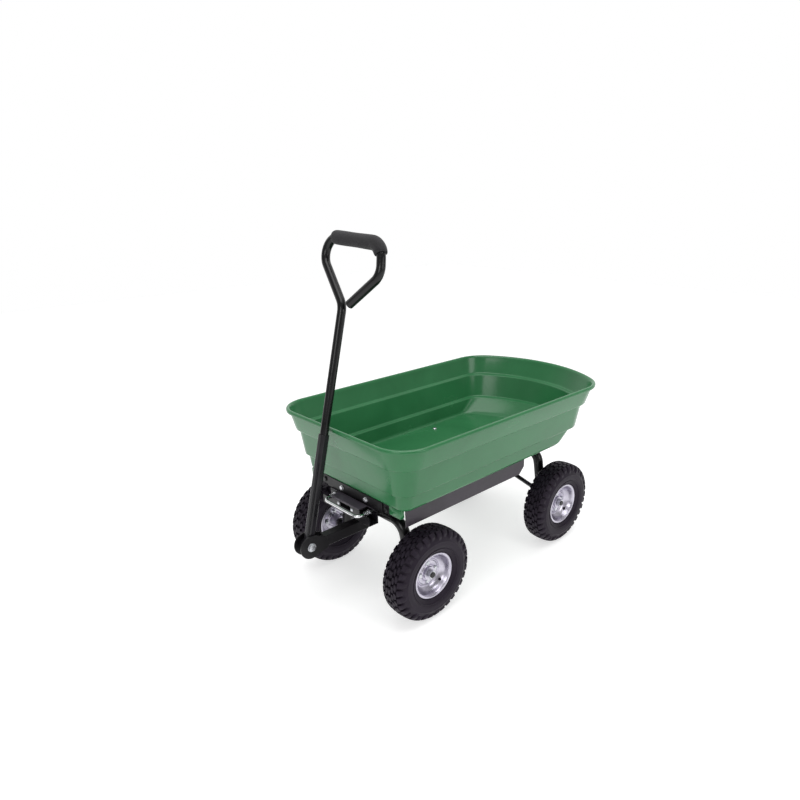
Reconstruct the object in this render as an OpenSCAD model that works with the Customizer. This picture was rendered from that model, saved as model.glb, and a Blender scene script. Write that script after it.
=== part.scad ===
// Tipping dump cart: plastic tray on a steel chassis, four air-filled wheels, pull handle.
// Frame: +X forward (handle end), +Y left, +Z up; origin on the ground under the middle of the box.

/* [Wheels] */
// Outer radius of the tyre
tyre_r = 130; // [124:1:134]
// Width of the tyre over the shoulders
tyre_w = 80; // [76:1:82]
// Depth of the tread blocks
tread_depth = 5; // [4:0.5:6]
// Tread blocks round each shoulder
tread_count = 36; // [32:1:38]
// Gap between neighbouring shoulder blocks
tread_gap = 8; // [7:0.5:9]
// How far the shoulder gaps reach in from the side
shoulder_len = 17; // [15:0.5:19]
// Half width of the tread's middle band
centre_band = 8; // [7:0.5:9]
// Width of the two grooves beside the middle band
groove_w = 5; // [4:0.5:6]
// Radius of the rim's outer flange
rim_r = 65; // [63:0.5:66]
// Radius of the seat that the tyre's bead grips
bead_r = 52; // [51:0.5:53]
// Half width of the rim between its flanges
rim_half_w = 26; // [25:0.5:27]
// Sheet thickness of the pressed rim halves
rim_t = 2; // [1.5:0.25:2.5]
// Radius of the flat disc in the middle of the rim
disc_r = 36; // [34:0.5:37]
// Height of the disc's cone up to the bead seat
cone_h = 11; // [10:0.5:12]
// Outer radius of the hub tube
hub_r = 18; // [17:0.5:19]
// Reach of the hub tube towards the outside
hub_out = 12; // [11:0.5:13]
// Reach of the hub tube towards the axle
hub_in = 36; // [34:0.5:37]
// Pitch radius of the bolts that join the rim halves
rim_bolt_pitch = 27; // [26.5:0.1:27.5]
// Bolts that join the rim halves
rim_bolt_count = 4; // [3:1:5]
// Thickness of the inner tube's rubber
tube_t = 2.5; // [2:0.25:3]
// Radius of the valve stem
valve_r = 4; // [3.5:0.25:4.5]
// Length of the valve stem
valve_len = 35; // [33:0.5:36]

/* [Axles] */
// Distance between the front and rear axles
wheelbase = 568; // [560:1:576]
// Half of the track, axle centre to wheel centre
half_track = 207; // [205:0.5:210]
// Radius of the wheel spindles
spindle_r = 8; // [7.5:0.25:8.5]
// Running clearance of turning fits
run_gap = 0.05; // [0.03:0.01:0.08]
// Outer radius of the arch tubes
arch_r = 15; // [14:0.5:16]
// Wall thickness of the arch tubes
arch_t = 2; // [1.5:0.25:2.5]
// Bend radius of the arch tubes
arch_bend = 45; // [42:1:48]
// Height of the front arch's top line above the axle
front_arch_rise = 112; // [111:0.5:113]
// Height of the rear arch's top line above the axle
rear_arch_rise = 150; // [148:0.5:151]
// Half spread of the front arch at axle height
front_leg_y = 138; // [136:0.5:140]
// Half spread of the rear arch at axle height
rear_leg_y = 149; // [147:0.5:150]
// Splay of the arch legs in degrees
leg_splay = 9; // [8:0.5:10]
// How far the arch legs reach below the axle
leg_tail = 18; // [16:1:20]

/* [Chassis] */
// Half spacing of the two long chassis bars
bar_y = 45; // [44:0.5:46]
// Width of a chassis bar
bar_w = 20; // [18:1:22]
// Height of a chassis bar
bar_h = 33; // [32:0.5:34]
// Wall of the chassis bars
bar_t = 2; // [1.5:0.25:2.5]
// Thickness of the pressed plates
plate_t = 3; // [2.5:0.25:3.25]
// Thickness of the swivel base plate
base_t = 4; // [3.5:0.25:4.5]
// Radius of the king pin
king_r = 8; // [7.5:0.25:8.5]
// Radius of the rear brace rod
brace_r = 6.5; // [6:0.25:7]
// Half spread of the rear brace
brace_y = 134; // [132:0.5:136]
// Distance of the brace's cross bar in front of the rear axle
brace_run = 144; // [140:1:148]
// Bend radius of the rear brace
brace_bend = 25; // [22:1:28]
// Distance of the tipping axis behind the rear axle
tip_back = 36; // [34:0.5:38]
// Height of the tipping axis above the axle
tip_rise = 173; // [172:0.25:174]
// Half spacing of the hinge lugs
lug_y = 70; // [68:0.5:72]
// Thickness of a hinge lug
lug_t = 6; // [5:0.5:7]
// Radius of the hinge eyes
eye_r = 14; // [13:0.5:14.5]
// Radius of the hinge bolts
hinge_r = 6; // [5.5:0.25:6.5]

/* [Tray] */
// Distance from the front axle to the front of the tray's crest
tray_nose = 114; // [112:0.5:115]
// Distance from the rear axle to the rear of the tray's crest
tray_tail = 196; // [192:1:200]
// Half width of the tray at the crest
tray_half_w = 257; // [254:1:260]
// Front corner radius at the crest
tray_corner_r = 80; // [78:1:84]
// Rear corner radius at the crest
tray_rear_corner_r = 108; // [106:1:114]
// Radius of the bowed rear end
tray_bow_r = 385; // [380:1:395]
// Height of the crest of the rim above the axle
crest_rise = 378; // [374:1:380]
// Wall thickness of the tray
tray_t = 3.5; // [3:0.25:4]
// How far the rolled lip stands out
lip_out = 8; // [7.5:0.25:8.5]
// Depth of the rolled lip
lip_h = 17; // [16:0.5:18]
// Thickness of the rolled lip
lip_t = 2.6; // [2.4:0.1:3]
// Height of the lower edge of the top tier above the axle
tier1_rise = 317; // [315:0.5:319]
// Height of the lower edge of the middle tier above the axle
tier2_rise = 234; // [232:0.5:236]
// Height of the lower edge of the bottom tier above the axle
tier3_rise = 205; // [204:0.5:206]
// Fall of each sloped ledge
ledge_h = 11; // [10:0.5:12]
// Height of the tray's underside above the axle
floor_rise = 194; // [193.5:0.25:194.5]
// Inset of the wall at the top
wall_in = 3; // [2.5:0.25:3.5]
// Inset at the lower edge of the top tier
tier1_in = 15; // [14:0.5:16]
// Inset inside the first ledge
ledge1_in = 26; // [25:0.5:27]
// Inset at the lower edge of the middle tier
tier2_in = 36; // [35:0.5:37]
// Inset inside the second ledge
ledge2_in = 47; // [46:0.5:48]
// Inset at the lower edge of the bottom tier
tier3_in = 51; // [50:0.5:51.5]
// Inset of the floor's edge
floor_in = 66; // [65:0.5:67]
// Height of the ribs on the floor
rib_h = 2; // [1.5:0.25:2.5]
// Width of the ribs on the floor
rib_w = 6; // [5:0.5:7]

/* [Rails and plates] */
// Distance of the rails' outer faces in from the tray's crest
rail_in = 67; // [66:0.5:69]
// Height of a rail
rail_h = 49; // [47:0.5:50]
// Width of a rail's top flange
rail_flange = 43; // [41:0.5:45]
// Distance of the rails' front end ahead of the front axle
rail_nose = 50; // [48:0.5:51]
// Length of the rails
rail_len = 466; // [460:1:470]
// Cut corner at the rails' lower rear end
rail_cut = 20; // [18:0.5:22]
// Distance of the rail bolts in from the rails' outer faces
rail_bolt_in = 26; // [25:0.5:27]
// Distance of the rear rail bolts from the rails' rear end
rail_bolt_rear = 25; // [23:0.5:27]
// Distance of the front rail bolts from the rails' front end
rail_bolt_front = 60; // [56:1:64]
// Distance of the front bearer's face ahead of the front axle
bearer_nose = 60; // [59:0.5:60.5]
// Gap between the front bearer and the rails' flanges
bearer_gap = 2; // [1:0.5:4]
// Distance of the front plate's ends in from the bearer's end bolts
plate_gap = 13; // [12:0.5:14]
// Half spacing of the plate's bolts
plate_bolt_y = 51; // [50:0.5:52]
// Distance of the end bolts in from the bearer's ends
end_bolt_in = 14; // [13:0.5:15]

/* [Latch] */
// Radius of the latch bail's rod
bail_r = 4; // [3.75:0.05:4.1]
// Half spacing of the bail's arms
bail_y = 73; // [72:0.5:74]
// Height of the bail above the axle
bail_rise = 153; // [152.5:0.25:153.5]
// Distance of the bail's front bar ahead of the front axle
bail_nose = 112; // [110:0.5:113]
// Bend radius of the bail
bail_bend = 16; // [15:0.5:18]
// How far the bail pulls out
bail_stroke = 10; // [9.5:0.25:10]
// Depth of the latch housing, front to back
housing_d = 29; // [28.5:0.25:29.5]
// Radius of the latch springs' coil line
spring_r = 6.6; // [6.4:0.1:6.8]
// Radius of the latch springs' wire
spring_wire = 0.6; // [0.5:0.05:0.65]
// Turns of a latch spring
spring_turns = 4; // [3:0.5:4.5]

/* [Handle] */
// Distance of the handle's pivot ahead of the front axle
pivot_nose = 218.5; // [217:0.5:220]
// Height of the handle's pivot above the axle
pivot_rise = 86.5; // [85:0.5:88]
// Lean of the parked handle in degrees
handle_lean = 15.5; // [15:0.25:15.75]
// Radius of the handle's pivot bolt
pivot_r = 7; // [6.5:0.25:7.5]
// Radius of the clevis cheeks' round end
cheek_r = 31.5; // [30:0.5:32.5]
// Half gap between the clevis cheeks
cheek_y = 13; // [12.75:0.25:13.5]
// Thickness of the clevis cheeks
cheek_t = 3.5; // [3:0.25:4]
// Height of the tongue's sides
tongue_h = 50; // [48:0.5:52]
// Side of the lower handle's square tube
lower_w = 24; // [23.5:0.25:24.5]
// Length of the lower handle from the pivot
lower_len = 291; // [286:1:296]
// Radius of the upper handle's tube
tube_r = 10.5; // [10.25:0.05:10.7]
// Wall of the upper handle's tube
tube_wall = 2; // [1.5:0.25:2.5]
// Height of the handle's fork above the pivot, along the handle
fork_s = 600; // [595:1:605]
// Height of the top bar above the pivot, along the handle
top_s = 750; // [745:1:755]
// Half spread where the loop's left side would meet the top bar
loop_left_y = 140; // [138:0.5:142]
// Half spread where the loop's right side would meet the top bar
loop_right_y = 163; // [161:0.5:164]
// Sideways place of the loop's free end
loop_end_y = 27; // [26.5:0.25:28]
// Bend radius of the loop's shoulders
loop_bend = 38; // [37:0.5:39]
// Bend radius where the stem leaves for the loop
fork_bend = 40; // [38:1:42]
// Radius of the foam grip
grip_r = 16; // [15:0.25:16.5]
// Wrap of the grip round the right shoulder in degrees
grip_wrap = 60; // [55:1:65]

/* [Fasteners] */
// Radius of the floor and plate bolts' shanks
bolt_r = 4; // [3.8:0.05:4.1]
// Radius of the floor bolts' round heads
bolt_head_r = 7.5; // [7.25:0.05:7.75]
// Height of a bolt head
bolt_head_h = 4; // [3.5:0.25:4.5]
// Half width of a small nut over its corners
nut_r = 7.5; // [7.25:0.05:7.75]
// Height of a small nut
nut_h = 6; // [5.5:0.25:6.5]
// Half width of a large nut over its corners
big_nut_r = 13; // [12.5:0.1:13.5]
// Height of a large nut
big_nut_h = 10; // [9:0.5:11]
// Clearance round a bolt's shank
bolt_gap = 0.2; // [0.15:0.05:0.25]

/* [Hidden] */
$fn = 64;
facet_fn = 28;
six = 6;
// shares of a size, not lengths
front_share = 0.88;
rear_share = 1.4;
skin_share = 0.6;
// share of a turn from straight ahead, by way of the top, to the valve
valve_share = 0.625;
// axle places along the cart, measured from the middle of the overall box
box_front = pivot_nose + cheek_r;
box_rear = tray_tail + lip_out;
front_x = (wheelbase + box_rear - box_front) / 2;
rear_x = front_x - wheelbase;
pivot_x = front_x + pivot_nose;
tip_x = rear_x - tip_back;
axle_z = tyre_r;
// heights of the pieces, all measured up from the axle
front_arch_z = axle_z + front_arch_rise;
rear_arch_z = axle_z + rear_arch_rise;
tip_z = axle_z + tip_rise;
crest_z = axle_z + crest_rise;
tier1_z = axle_z + tier1_rise;
tier2_z = axle_z + tier2_rise;
tier3_z = axle_z + tier3_rise;
floor_z = axle_z + floor_rise;
bail_z = axle_z + bail_rise;
pivot_z = axle_z + pivot_rise;
// heights through the swivel
arch_top = front_arch_z + arch_r;
web_top = arch_top + plate_t;
base_z = web_top + run_gap;
bar_z = base_z + base_t;
bar_top = bar_z + bar_h;
flange_z = floor_z - plate_t;
// wheel section
bead_t = 9;
bead_in = 12;
cavity_low = bead_r + bead_t;
cavity_top = tyre_r - bead_t;
side_t = 10;
cavity_half = tyre_w / 2 - side_t;
hub_t = 3;
bearing_w = 12;
shank_tail = 12;
valve_tilt = 18;
valve_z = 2;
slot_over = 4;
shoulder_drop = 2;
// tray outline
tray_front_x = front_x + tray_nose;
tray_back_x = rear_x - tray_tail;
least_corner = 12;
arc_n = 10;
bow_n = 7;
lip_roll = 4;
// widths under the tray, from the tray's crest inwards
rail_y = tray_half_w - rail_in;
rail_bolt_y = rail_y - rail_bolt_in;
bearer_half_w = rail_y - rail_flange - bearer_gap;
end_bolt_y = bearer_half_w - end_bolt_in;
plate_half_w = end_bolt_y - plate_gap;
// latch places
bearer_x = front_x + bearer_nose;
plate_x = bearer_x + plate_t;
house_x = plate_x + plate_t + plate_t / 3;
house_front = house_x + housing_d;
bail_x = front_x + bail_nose;
tab_half = 12;
tab_drop = 9;
pin_tail = 3;
collar_r = 9;
collar_w = 3;
collar_x = house_x + 2 * plate_t;
housing_top = bail_z + collar_r + plate_t + run_gap;
plate_low = housing_top + run_gap;
house_half_w = 100;
slot_half = 34;
screw_y = 24;
screw_drop = 12;
base_half_w = 60;
king_pad = 32;
tongue_back = 16;
tongue_half = cheek_y + cheek_t;
cheek_back = 49;
lower_t = 2.5;
lower_round = 13;
sleeve_lap = 70;
joint_in = 41;
joint_s = lower_len - joint_in;
eye_out = 17;
grip_start = 60;
plug_t = 3;
plug_in = 12;
plug_neck = 0.3;
bracket_t = 5;
bend_swell = 0.2;
bend_lap = 0.5;
bracket_front = 42;
bracket_rear = 24;
bracket_in = 8;
bracket_out = 34;
bracket_bolt_in = 18;
screw_bite = 3;
lug_gap = 0.1;
bearer_bolt_y = 92;
bearer_depth = 32;
bearer_bolt_in = 16;
foot_x = 14;
foot_y = 20;
foot_h = 34;
foot_in = 4;
spindle_in = 14;
collar_out_r = 13;
spindle_tail = 2;
axle_nut_r = 12;
end_gap = 0.5;
sweep_pts = 8;
wire_sides = 6;

green = [0.16, 0.42, 0.24];
black = [0.06, 0.06, 0.07];
charcoal = [0.2, 0.18, 0.21];
rubber = [0.1, 0.1, 0.1];
zinc = [0.75, 0.76, 0.78];
chrome = [0.85, 0.86, 0.88];
foam = [0.12, 0.12, 0.12];

// A fillet's tangent length at corner i of a path, 0 at the two ends
function unit(v) = v / norm(v);
function turn(p, i) = let (a = unit(p[i] - p[i - 1]), b = unit(p[i + 1] - p[i]))
    atan2(a[0] * b[1] - a[1] * b[0], a[0] * b[0] + a[1] * b[1]);
function tangent(p, bends, i) = i == 0 || i == len(p) - 1 ? 0
    : bends[i] * tan(abs(turn(p, i)) / 2);

// Solid round rod along a flat path in the XY plane; its straights run a little way into the bends,
// which are a hair thicker, so that the two never share a skin
function lapped(p, bends, i) = i == 0 || i == len(p) - 1 ? 0 : tangent(p, bends, i) - bend_lap;

module bent_rod(p, bends, r) {
    for (i = [0 : len(p) - 2]) {
        d = unit(p[i + 1] - p[i]);
        a = p[i] + d * lapped(p, bends, i);
        b = p[i + 1] - d * lapped(p, bends, i + 1);
        translate([a[0], a[1], 0])
            rotate([0, 90, atan2(d[1], d[0])])
                cylinder(h = norm(b - a), r = r);
    }
    for (i = [1 : len(p) - 2]) {
        d = unit(p[i] - p[i - 1]);
        a = p[i] - d * tangent(p, bends, i);
        s = sign(turn(p, i));
        c = a + s * bends[i] * [-d[1], d[0]];
        first = atan2(d[1], d[0]) - s * 90;
        translate([c[0], c[1], 0])
            rotate([0, 0, s > 0 ? first : first - abs(turn(p, i))])
                rotate_extrude(angle = abs(turn(p, i)))
                    translate([bends[i], 0])
                        circle(r = r + bend_swell);
    }
}

// The bore of a bent tube, run out through both open ends
module bent_bore(p, bends, r, wall) {
    n = len(p) - 1;
    first = p[0] - wall * unit(p[1] - p[0]);
    last = p[n] + wall * unit(p[n] - p[n - 1]);
    bent_rod(concat([first], [for (i = [1 : n - 1]) p[i]], [last]), bends, r - wall);
}

// Stands a flat XY drawing up in the cart's YZ plane at x
module across(x) {
    translate([x, 0, 0])
        rotate([90, 0, 90])
            children();
}

// Stands a flat XY drawing up in the cart's XZ plane, thickness t towards +Y from y
module upright(y, t) {
    translate([0, y + t, 0])
        rotate([90, 0, 0])
            linear_extrude(height = t)
                children();
}

// Shows the children on the left and mirrored on the right
module both_sides() {
    children();
    mirror([0, 1, 0])
        children();
}

module hex_nut(r, h, bore) {
    difference() {
        cylinder(h = h, r = r, $fn = six);
        translate([0, 0, -h])
            cylinder(h = 3 * h, r = bore);
    }
}

// Plan outline of the tray at an inset, as a ring of points at height z
function share(d, s) = d < 0 ? d : d * s;
function tray_ring(d, z) = let (
    w = tray_half_w - d,
    f = tray_front_x - share(d, front_share),
    b = tray_back_x + share(d, rear_share),
    cf = max(tray_corner_r - d, least_corner),
    cr = max(tray_rear_corner_r - d, 2 * least_corner),
    rb = tray_bow_r - d,
    xb = b + rb,
    xc = xb - sqrt(pow(rb - cr, 2) - pow(w - cr, 2)),
    lean = atan2(w - cr, xc - xb),
    half = concat(
        [for (i = [0 : arc_n]) let (a = 90 * i / arc_n)
            [f - cf + cf * cos(a), w - cf + cf * sin(a), z]],
        [for (i = [0 : arc_n]) let (a = 90 + (lean - 90) * i / arc_n)
            [xc + cr * cos(a), w - cr + cr * sin(a), z]],
        [for (i = [1 : bow_n]) let (a = lean + (180 - lean) * i / (bow_n + 0.5))
            [xb + rb * cos(a), rb * sin(a), z]]),
    n = len(half))
    concat(half, [for (i = [n - 1 : -1 : 0]) [half[i][0], -half[i][1], z]]);

// Closed skin through rings that run from the inside of the floor, over the lip, to the underside
module skin(rings) {
    n = len(rings[0]);
    m = len(rings);
    points = [for (r = rings) each r];
    sides = [for (k = [0 : m - 2]) for (i = [0 : n - 1]) let (j = (i + 1) % n)
        each [[k * n + i, k * n + j, (k + 1) * n + j], [k * n + i, (k + 1) * n + j, (k + 1) * n + i]]];
    first = [for (i = [n - 1 : -1 : 0]) i];
    last = [for (i = [0 : n - 1]) (m - 1) * n + i];
    polyhedron(points = points, faces = concat(sides, [first], [last]), convexity = 8);
}

in_z = floor_z + tray_t;
tray_levels = [
    [floor_in + skin_share * tray_t, in_z],
    [(floor_in + tier3_in) / 2 + tray_t, in_z + tray_t],
    [tier3_in + tray_t, tier3_z + tray_t],
    [ledge2_in + tray_t, tier2_z - ledge_h + tray_t],
    [tier2_in + tray_t, tier2_z + tray_t],
    [ledge1_in + tray_t, tier1_z - ledge_h + tray_t],
    [tier1_in + tray_t, tier1_z + tray_t],
    [wall_in + tray_t, crest_z - lip_h],
    [wall_in + tray_t / 4, crest_z - lip_roll],
    [wall_in / 2, crest_z - lip_t / 4],
    [0, crest_z],
    [-lip_t, crest_z - lip_t / 3],
    [-lip_roll, crest_z - lip_t],
    [-lip_out, crest_z - lip_h],
    [-lip_out + lip_t, crest_z - lip_h],
    [-lip_roll + lip_t, crest_z - lip_roll],
    [wall_in - tray_t / 2, crest_z - lip_roll - lip_t],
    [wall_in, crest_z - lip_h],
    [tier1_in, tier1_z],
    [ledge1_in, tier1_z - ledge_h],
    [tier2_in, tier2_z],
    [ledge2_in, tier2_z - ledge_h],
    [tier3_in, tier3_z],
    [(floor_in + tier3_in) / 2, floor_z + tray_t],
    [floor_in, floor_z]];

rail_front = front_x + rail_nose;
rail_rear = rail_front - rail_len;
rail_bolt_spots = [[rail_rear + rail_bolt_rear, rail_bolt_y], [rail_front - rail_bolt_front, rail_bolt_y]];
bracket_bolt_spots = [
    [tip_x + bracket_front - bracket_bolt_in / 2, lug_y + bracket_out - bracket_bolt_in / 2],
    [tip_x - bracket_rear + bracket_bolt_in / 2, lug_y + bracket_out - bracket_bolt_in / 2]];
bearer_bolt_spots = [[bearer_x - bearer_bolt_in, bearer_bolt_y]];
floor_spots = concat(rail_bolt_spots, bearer_bolt_spots);

module floor_holes() {
    both_sides()
        for (s = floor_spots)
            translate([s[0], s[1], floor_z - lip_h])
                cylinder(h = 2 * lip_h, r = bolt_r + bolt_gap, $fn = facet_fn);
}

// Blind holes from below for the hinge brackets' screws
module screw_holes(r) {
    both_sides()
        for (s = bracket_bolt_spots)
            translate([s[0], s[1], flange_z - plate_t])
                cylinder(h = 2 * plate_t + screw_bite, r = r, $fn = facet_fn);
}

// The tray: one moulded tub with three stepped tiers, a rolled lip and ribs on the floor
module tray() {
    color(green)
        difference() {
            union() {
                skin([for (l = tray_levels) tray_ring(l[0], l[1])]);
                for (y = [-1, 0, 1])
                    translate([tray_back_x + 2 * tray_rear_corner_r, y * base_half_w - rib_w / 2, in_z - rib_h])
                        cube([rail_len, rib_w, 2 * rib_h]);
                both_sides()
                    translate([rail_front + foot_in, rail_y - foot_y, floor_z - foot_h])
                        cube([foot_x, foot_y, foot_h + tray_t]);
            }
            floor_holes();
            screw_holes(bolt_r + bolt_gap);
        }
}

// A rail: folded side plate that carries the tray's floor
module left_rail() {
    color(charcoal)
        difference() {
            union() {
                upright(rail_y - plate_t, plate_t)
                    polygon([[rail_front, floor_z], [rail_front, floor_z - rail_h],
                        [rail_rear + rail_cut, floor_z - rail_h], [rail_rear, floor_z - rail_h + rail_cut],
                        [rail_rear, floor_z]]);
                translate([rail_rear, rail_y - rail_flange, flange_z])
                    cube([rail_len, rail_flange, plate_t]);
            }
            floor_holes();
        }
}

module right_rail() {
    mirror([0, 1, 0])
        left_rail();
}

// The front bearer: folded angle under the floor; its two tabs take the latch pins
module front_bearer() {
    color(black)
        difference() {
            union() {
                translate([bearer_x, -bearer_half_w, bar_top])
                    cube([plate_t, 2 * bearer_half_w, floor_z - bar_top]);
                translate([bearer_x + plate_t - bearer_depth, -bearer_half_w, flange_z])
                    cube([bearer_depth, 2 * bearer_half_w, plate_t]);
                both_sides()
                    translate([bearer_x, bail_y - tab_half, bail_z - tab_drop])
                        cube([plate_t, 2 * tab_half, floor_z - bail_z + tab_drop - plate_t]);
            }
            floor_holes();
            both_sides()
                translate([bearer_x - plate_t, bail_y, bail_z])
                    rotate([0, 90, 0])
                        cylinder(h = 3 * plate_t, r = bail_r + bolt_gap);
            plate_holes();
        }
}

plate_bolt_z = (plate_low + floor_z) / 2 + run_gap;

module plate_holes() {
    both_sides()
        for (y = [plate_bolt_y, end_bolt_y])
            translate([bearer_x - plate_t, y, plate_bolt_z])
                rotate([0, 90, 0])
                    cylinder(h = 4 * plate_t, r = bolt_r + bolt_gap);
}

// The front plate: black cover plate bolted on the bearer, standing on the latch housing
module front_plate() {
    color(black)
        difference() {
            translate([plate_x, -plate_half_w, plate_low])
                cube([plate_t, 2 * plate_half_w, floor_z - plate_low - run_gap]);
            plate_holes();
        }
}

module plate_bolts() {
    color(zinc)
        both_sides()
            for (spot = [[plate_x + plate_t, plate_bolt_y], [plate_x, end_bolt_y]])
                translate([spot[0], spot[1], plate_bolt_z])
                    rotate([0, 90, 0]) {
                        cylinder(h = bolt_head_h, r = nut_r, $fn = six);
                        translate([0, 0, -2 * plate_t - nut_h - plate_t])
                            cylinder(h = 2 * plate_t + nut_h + 2 * plate_t, r = bolt_r);
                    }
}

module plate_nuts() {
    color(zinc)
        both_sides()
            for (y = [plate_bolt_y, end_bolt_y])
                translate([bearer_x - nut_h, y, plate_bolt_z])
                    rotate([0, 90, 0])
                        hex_nut(nut_r, nut_h, bolt_r);
}

// Round-headed bolts through the tray's floor into the rails and the bearer
module floor_bolts() {
    color(zinc)
        both_sides()
            for (s = floor_spots)
                translate([s[0], s[1], in_z]) {
                    cylinder(h = bolt_head_h / 2, r = bolt_head_r);
                    translate([0, 0, bolt_head_h / 2])
                        cylinder(h = bolt_head_h / 2, r1 = bolt_head_r, r2 = bolt_head_r / 2);
                    translate([0, 0, -tray_t - plate_t - nut_h - plate_t / 2])
                        cylinder(h = tray_t + plate_t + nut_h + plate_t, r = bolt_r);
                }
}

module floor_nuts() {
    color(zinc)
        both_sides()
            for (s = floor_spots)
                translate([s[0], s[1], flange_z - nut_h])
                    hex_nut(nut_r, nut_h, bolt_r);
}

// Hinge brackets: a foot under the floor and an ear beside each hinge lug
module hinge_brackets() {
    ear_y = lug_y + lug_t / 2 + lug_gap;
    color(black)
        both_sides()
            difference() {
                union() {
                    translate([tip_x - bracket_rear, ear_y, flange_z])
                        cube([bracket_front + bracket_rear, bracket_out - lug_t / 2, plate_t]);
                    upright(ear_y, bracket_t) {
                        translate([tip_x, tip_z])
                            circle(r = eye_r);
                        polygon([[tip_x - eye_r, tip_z], [tip_x + eye_r, tip_z],
                            [tip_x + bracket_front - bracket_bolt_in, flange_z + plate_t / 2],
                            [tip_x - bracket_rear, flange_z + plate_t / 2]]);
                    }
                }
                translate([tip_x, 0, tip_z])
                    rotate([-90, 0, 0])
                        cylinder(h = 2 * lug_y, r = hinge_r + run_gap);
                screw_holes(bolt_r + bolt_gap);
            }
}

// Short hex screws from below that hold the hinge brackets to the tray's floor
module bracket_screws() {
    color(zinc)
        both_sides()
            for (s = bracket_bolt_spots)
                translate([s[0], s[1], flange_z - bolt_head_h]) {
                    cylinder(h = bolt_head_h, r = nut_r, $fn = six);
                    cylinder(h = bolt_head_h + plate_t + screw_bite - end_gap, r = bolt_r);
                }
}

function arch_path(top, leg) = let (
    k = tan(leg_splay),
    y = leg - (top - axle_z) * k,
    low = leg + leg_tail * k)
    [[-low, axle_z - leg_tail], [-y, top], [y, top], [low, axle_z - leg_tail]];

arch_bends = [0, arch_bend, arch_bend, 0];

module arch_rod(top, leg) {
    bent_rod(arch_path(top, leg), arch_bends, arch_r);
}

module arch_bore(top, leg) {
    bent_bore(arch_path(top, leg), arch_bends, arch_r, arch_t);
}

module spindle_bores(x) {
    both_sides()
        translate([x, 0, axle_z])
            rotate([-90, 0, 0])
                cylinder(h = half_track, r = spindle_r);
}

// Rear axle arch with the two hinge lugs welded on behind its top
module rear_arch() {
    color(black)
        difference() {
            union() {
                across(rear_x)
                    arch_rod(rear_arch_z, rear_leg_y);
                both_sides()
                    upright(lug_y - lug_t / 2, lug_t) {
                        translate([tip_x, tip_z])
                            circle(r = eye_r);
                        polygon([[tip_x - eye_r * skin_share, tip_z - eye_r * skin_share],
                            [rear_x - arch_r * skin_share, rear_arch_z - arch_r * skin_share],
                            [rear_x, rear_arch_z + arch_r * skin_share],
                            [tip_x + eye_r * skin_share, tip_z + eye_r * skin_share]]);
                    }
            }
            across(rear_x)
                arch_bore(rear_arch_z, rear_leg_y);
            spindle_bores(rear_x);
            both_sides()
                translate([tip_x, 0, tip_z])
                    rotate([-90, 0, 0])
                        cylinder(h = 2 * lug_y, r = hinge_r);
        }
}

// Rear brace: one bent rod from the left arch leg, under the bars, to the right arch leg
module rear_brace() {
    brace_z = bar_z - brace_r;
    fall = brace_z - axle_z - arch_r;
    leg = sqrt(pow(brace_run, 2) + pow(fall, 2));
    color(black)
        difference() {
            translate([rear_x + brace_run, 0, brace_z])
                rotate([0, -atan2(fall, brace_run), 0])
                    rotate([0, 0, 90])
                        bent_rod([[-brace_y, leg], [-brace_y, 0], [brace_y, 0], [brace_y, leg]],
                            [0, brace_bend, brace_bend, 0], brace_r);
            across(rear_x)
                arch_rod(rear_arch_z, rear_leg_y);
        }
}

// Two box-section bars from the swivel base back to the rear arch
module chassis_bars() {
    front_end = bearer_x - plate_t;
    color(black)
        both_sides()
            difference() {
                translate([rear_x, bar_y - bar_w / 2, bar_z])
                    cube([front_end - rear_x, bar_w, bar_h]);
                translate([rear_x - bar_t, bar_y - bar_w / 2 + bar_t, bar_z + bar_t])
                    cube([front_end - rear_x + 2 * bar_t, bar_w - 2 * bar_t, bar_h - 2 * bar_t]);
                across(rear_x)
                    arch_rod(rear_arch_z, rear_leg_y);
            }
}

// Swivel base plate and latch housing, pressed as one piece
module front_base() {
    color(charcoal)
        difference() {
            union() {
                translate([front_x - king_pad, -base_half_w, base_z])
                    cube([house_x - front_x + king_pad, 2 * base_half_w, base_t]);
                translate([house_x, -house_half_w, base_z])
                    cube([housing_d, 2 * house_half_w, base_t]);
                translate([house_x, -house_half_w, base_z])
                    cube([plate_t, 2 * house_half_w, housing_top - base_z]);
                translate([house_front - plate_t, -house_half_w, base_z])
                    cube([plate_t, 2 * house_half_w, housing_top - base_z]);
                translate([house_x, -house_half_w, housing_top - plate_t])
                    cube([housing_d, 2 * house_half_w, plate_t]);
            }
            translate([front_x, 0, base_z - base_t])
                cylinder(h = 3 * base_t, r = king_r);
            translate([house_x + housing_d / 2, -slot_half, housing_top - 2 * plate_t])
                cube([housing_d / 2 - plate_t, 2 * slot_half, 3 * plate_t]);
            both_sides() {
                translate([house_x - plate_t, bail_y, bail_z])
                    rotate([0, 90, 0])
                        cylinder(h = housing_d + 2 * plate_t, r = bail_r + run_gap);
                translate([house_front - 2 * plate_t, screw_y, bail_z - screw_drop])
                    rotate([0, 90, 0])
                        cylinder(h = 3 * plate_t, r = bolt_r / 2 + bolt_gap);
            }
        }
}

// Two small screws in the housing's front wall
module base_screws() {
    color(zinc)
        both_sides()
            translate([house_front, screw_y, bail_z - screw_drop])
                rotate([0, 90, 0]) {
                    cylinder(h = bolt_head_h, r = bolt_r, $fn = six);
                    translate([0, 0, -2 * plate_t])
                        cylinder(h = 2 * plate_t + bolt_head_h / 2, r = bolt_r / 2);
                }
}

module king_pin() {
    color(zinc) {
        translate([front_x, 0, bar_z])
            cylinder(h = big_nut_h * skin_share, r = big_nut_r, $fn = six);
        translate([front_x, 0, front_arch_z - arch_r - big_nut_h - plate_t])
            cylinder(h = bar_z + base_t - front_arch_z + arch_r + big_nut_h, r = king_r);
    }
}

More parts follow.
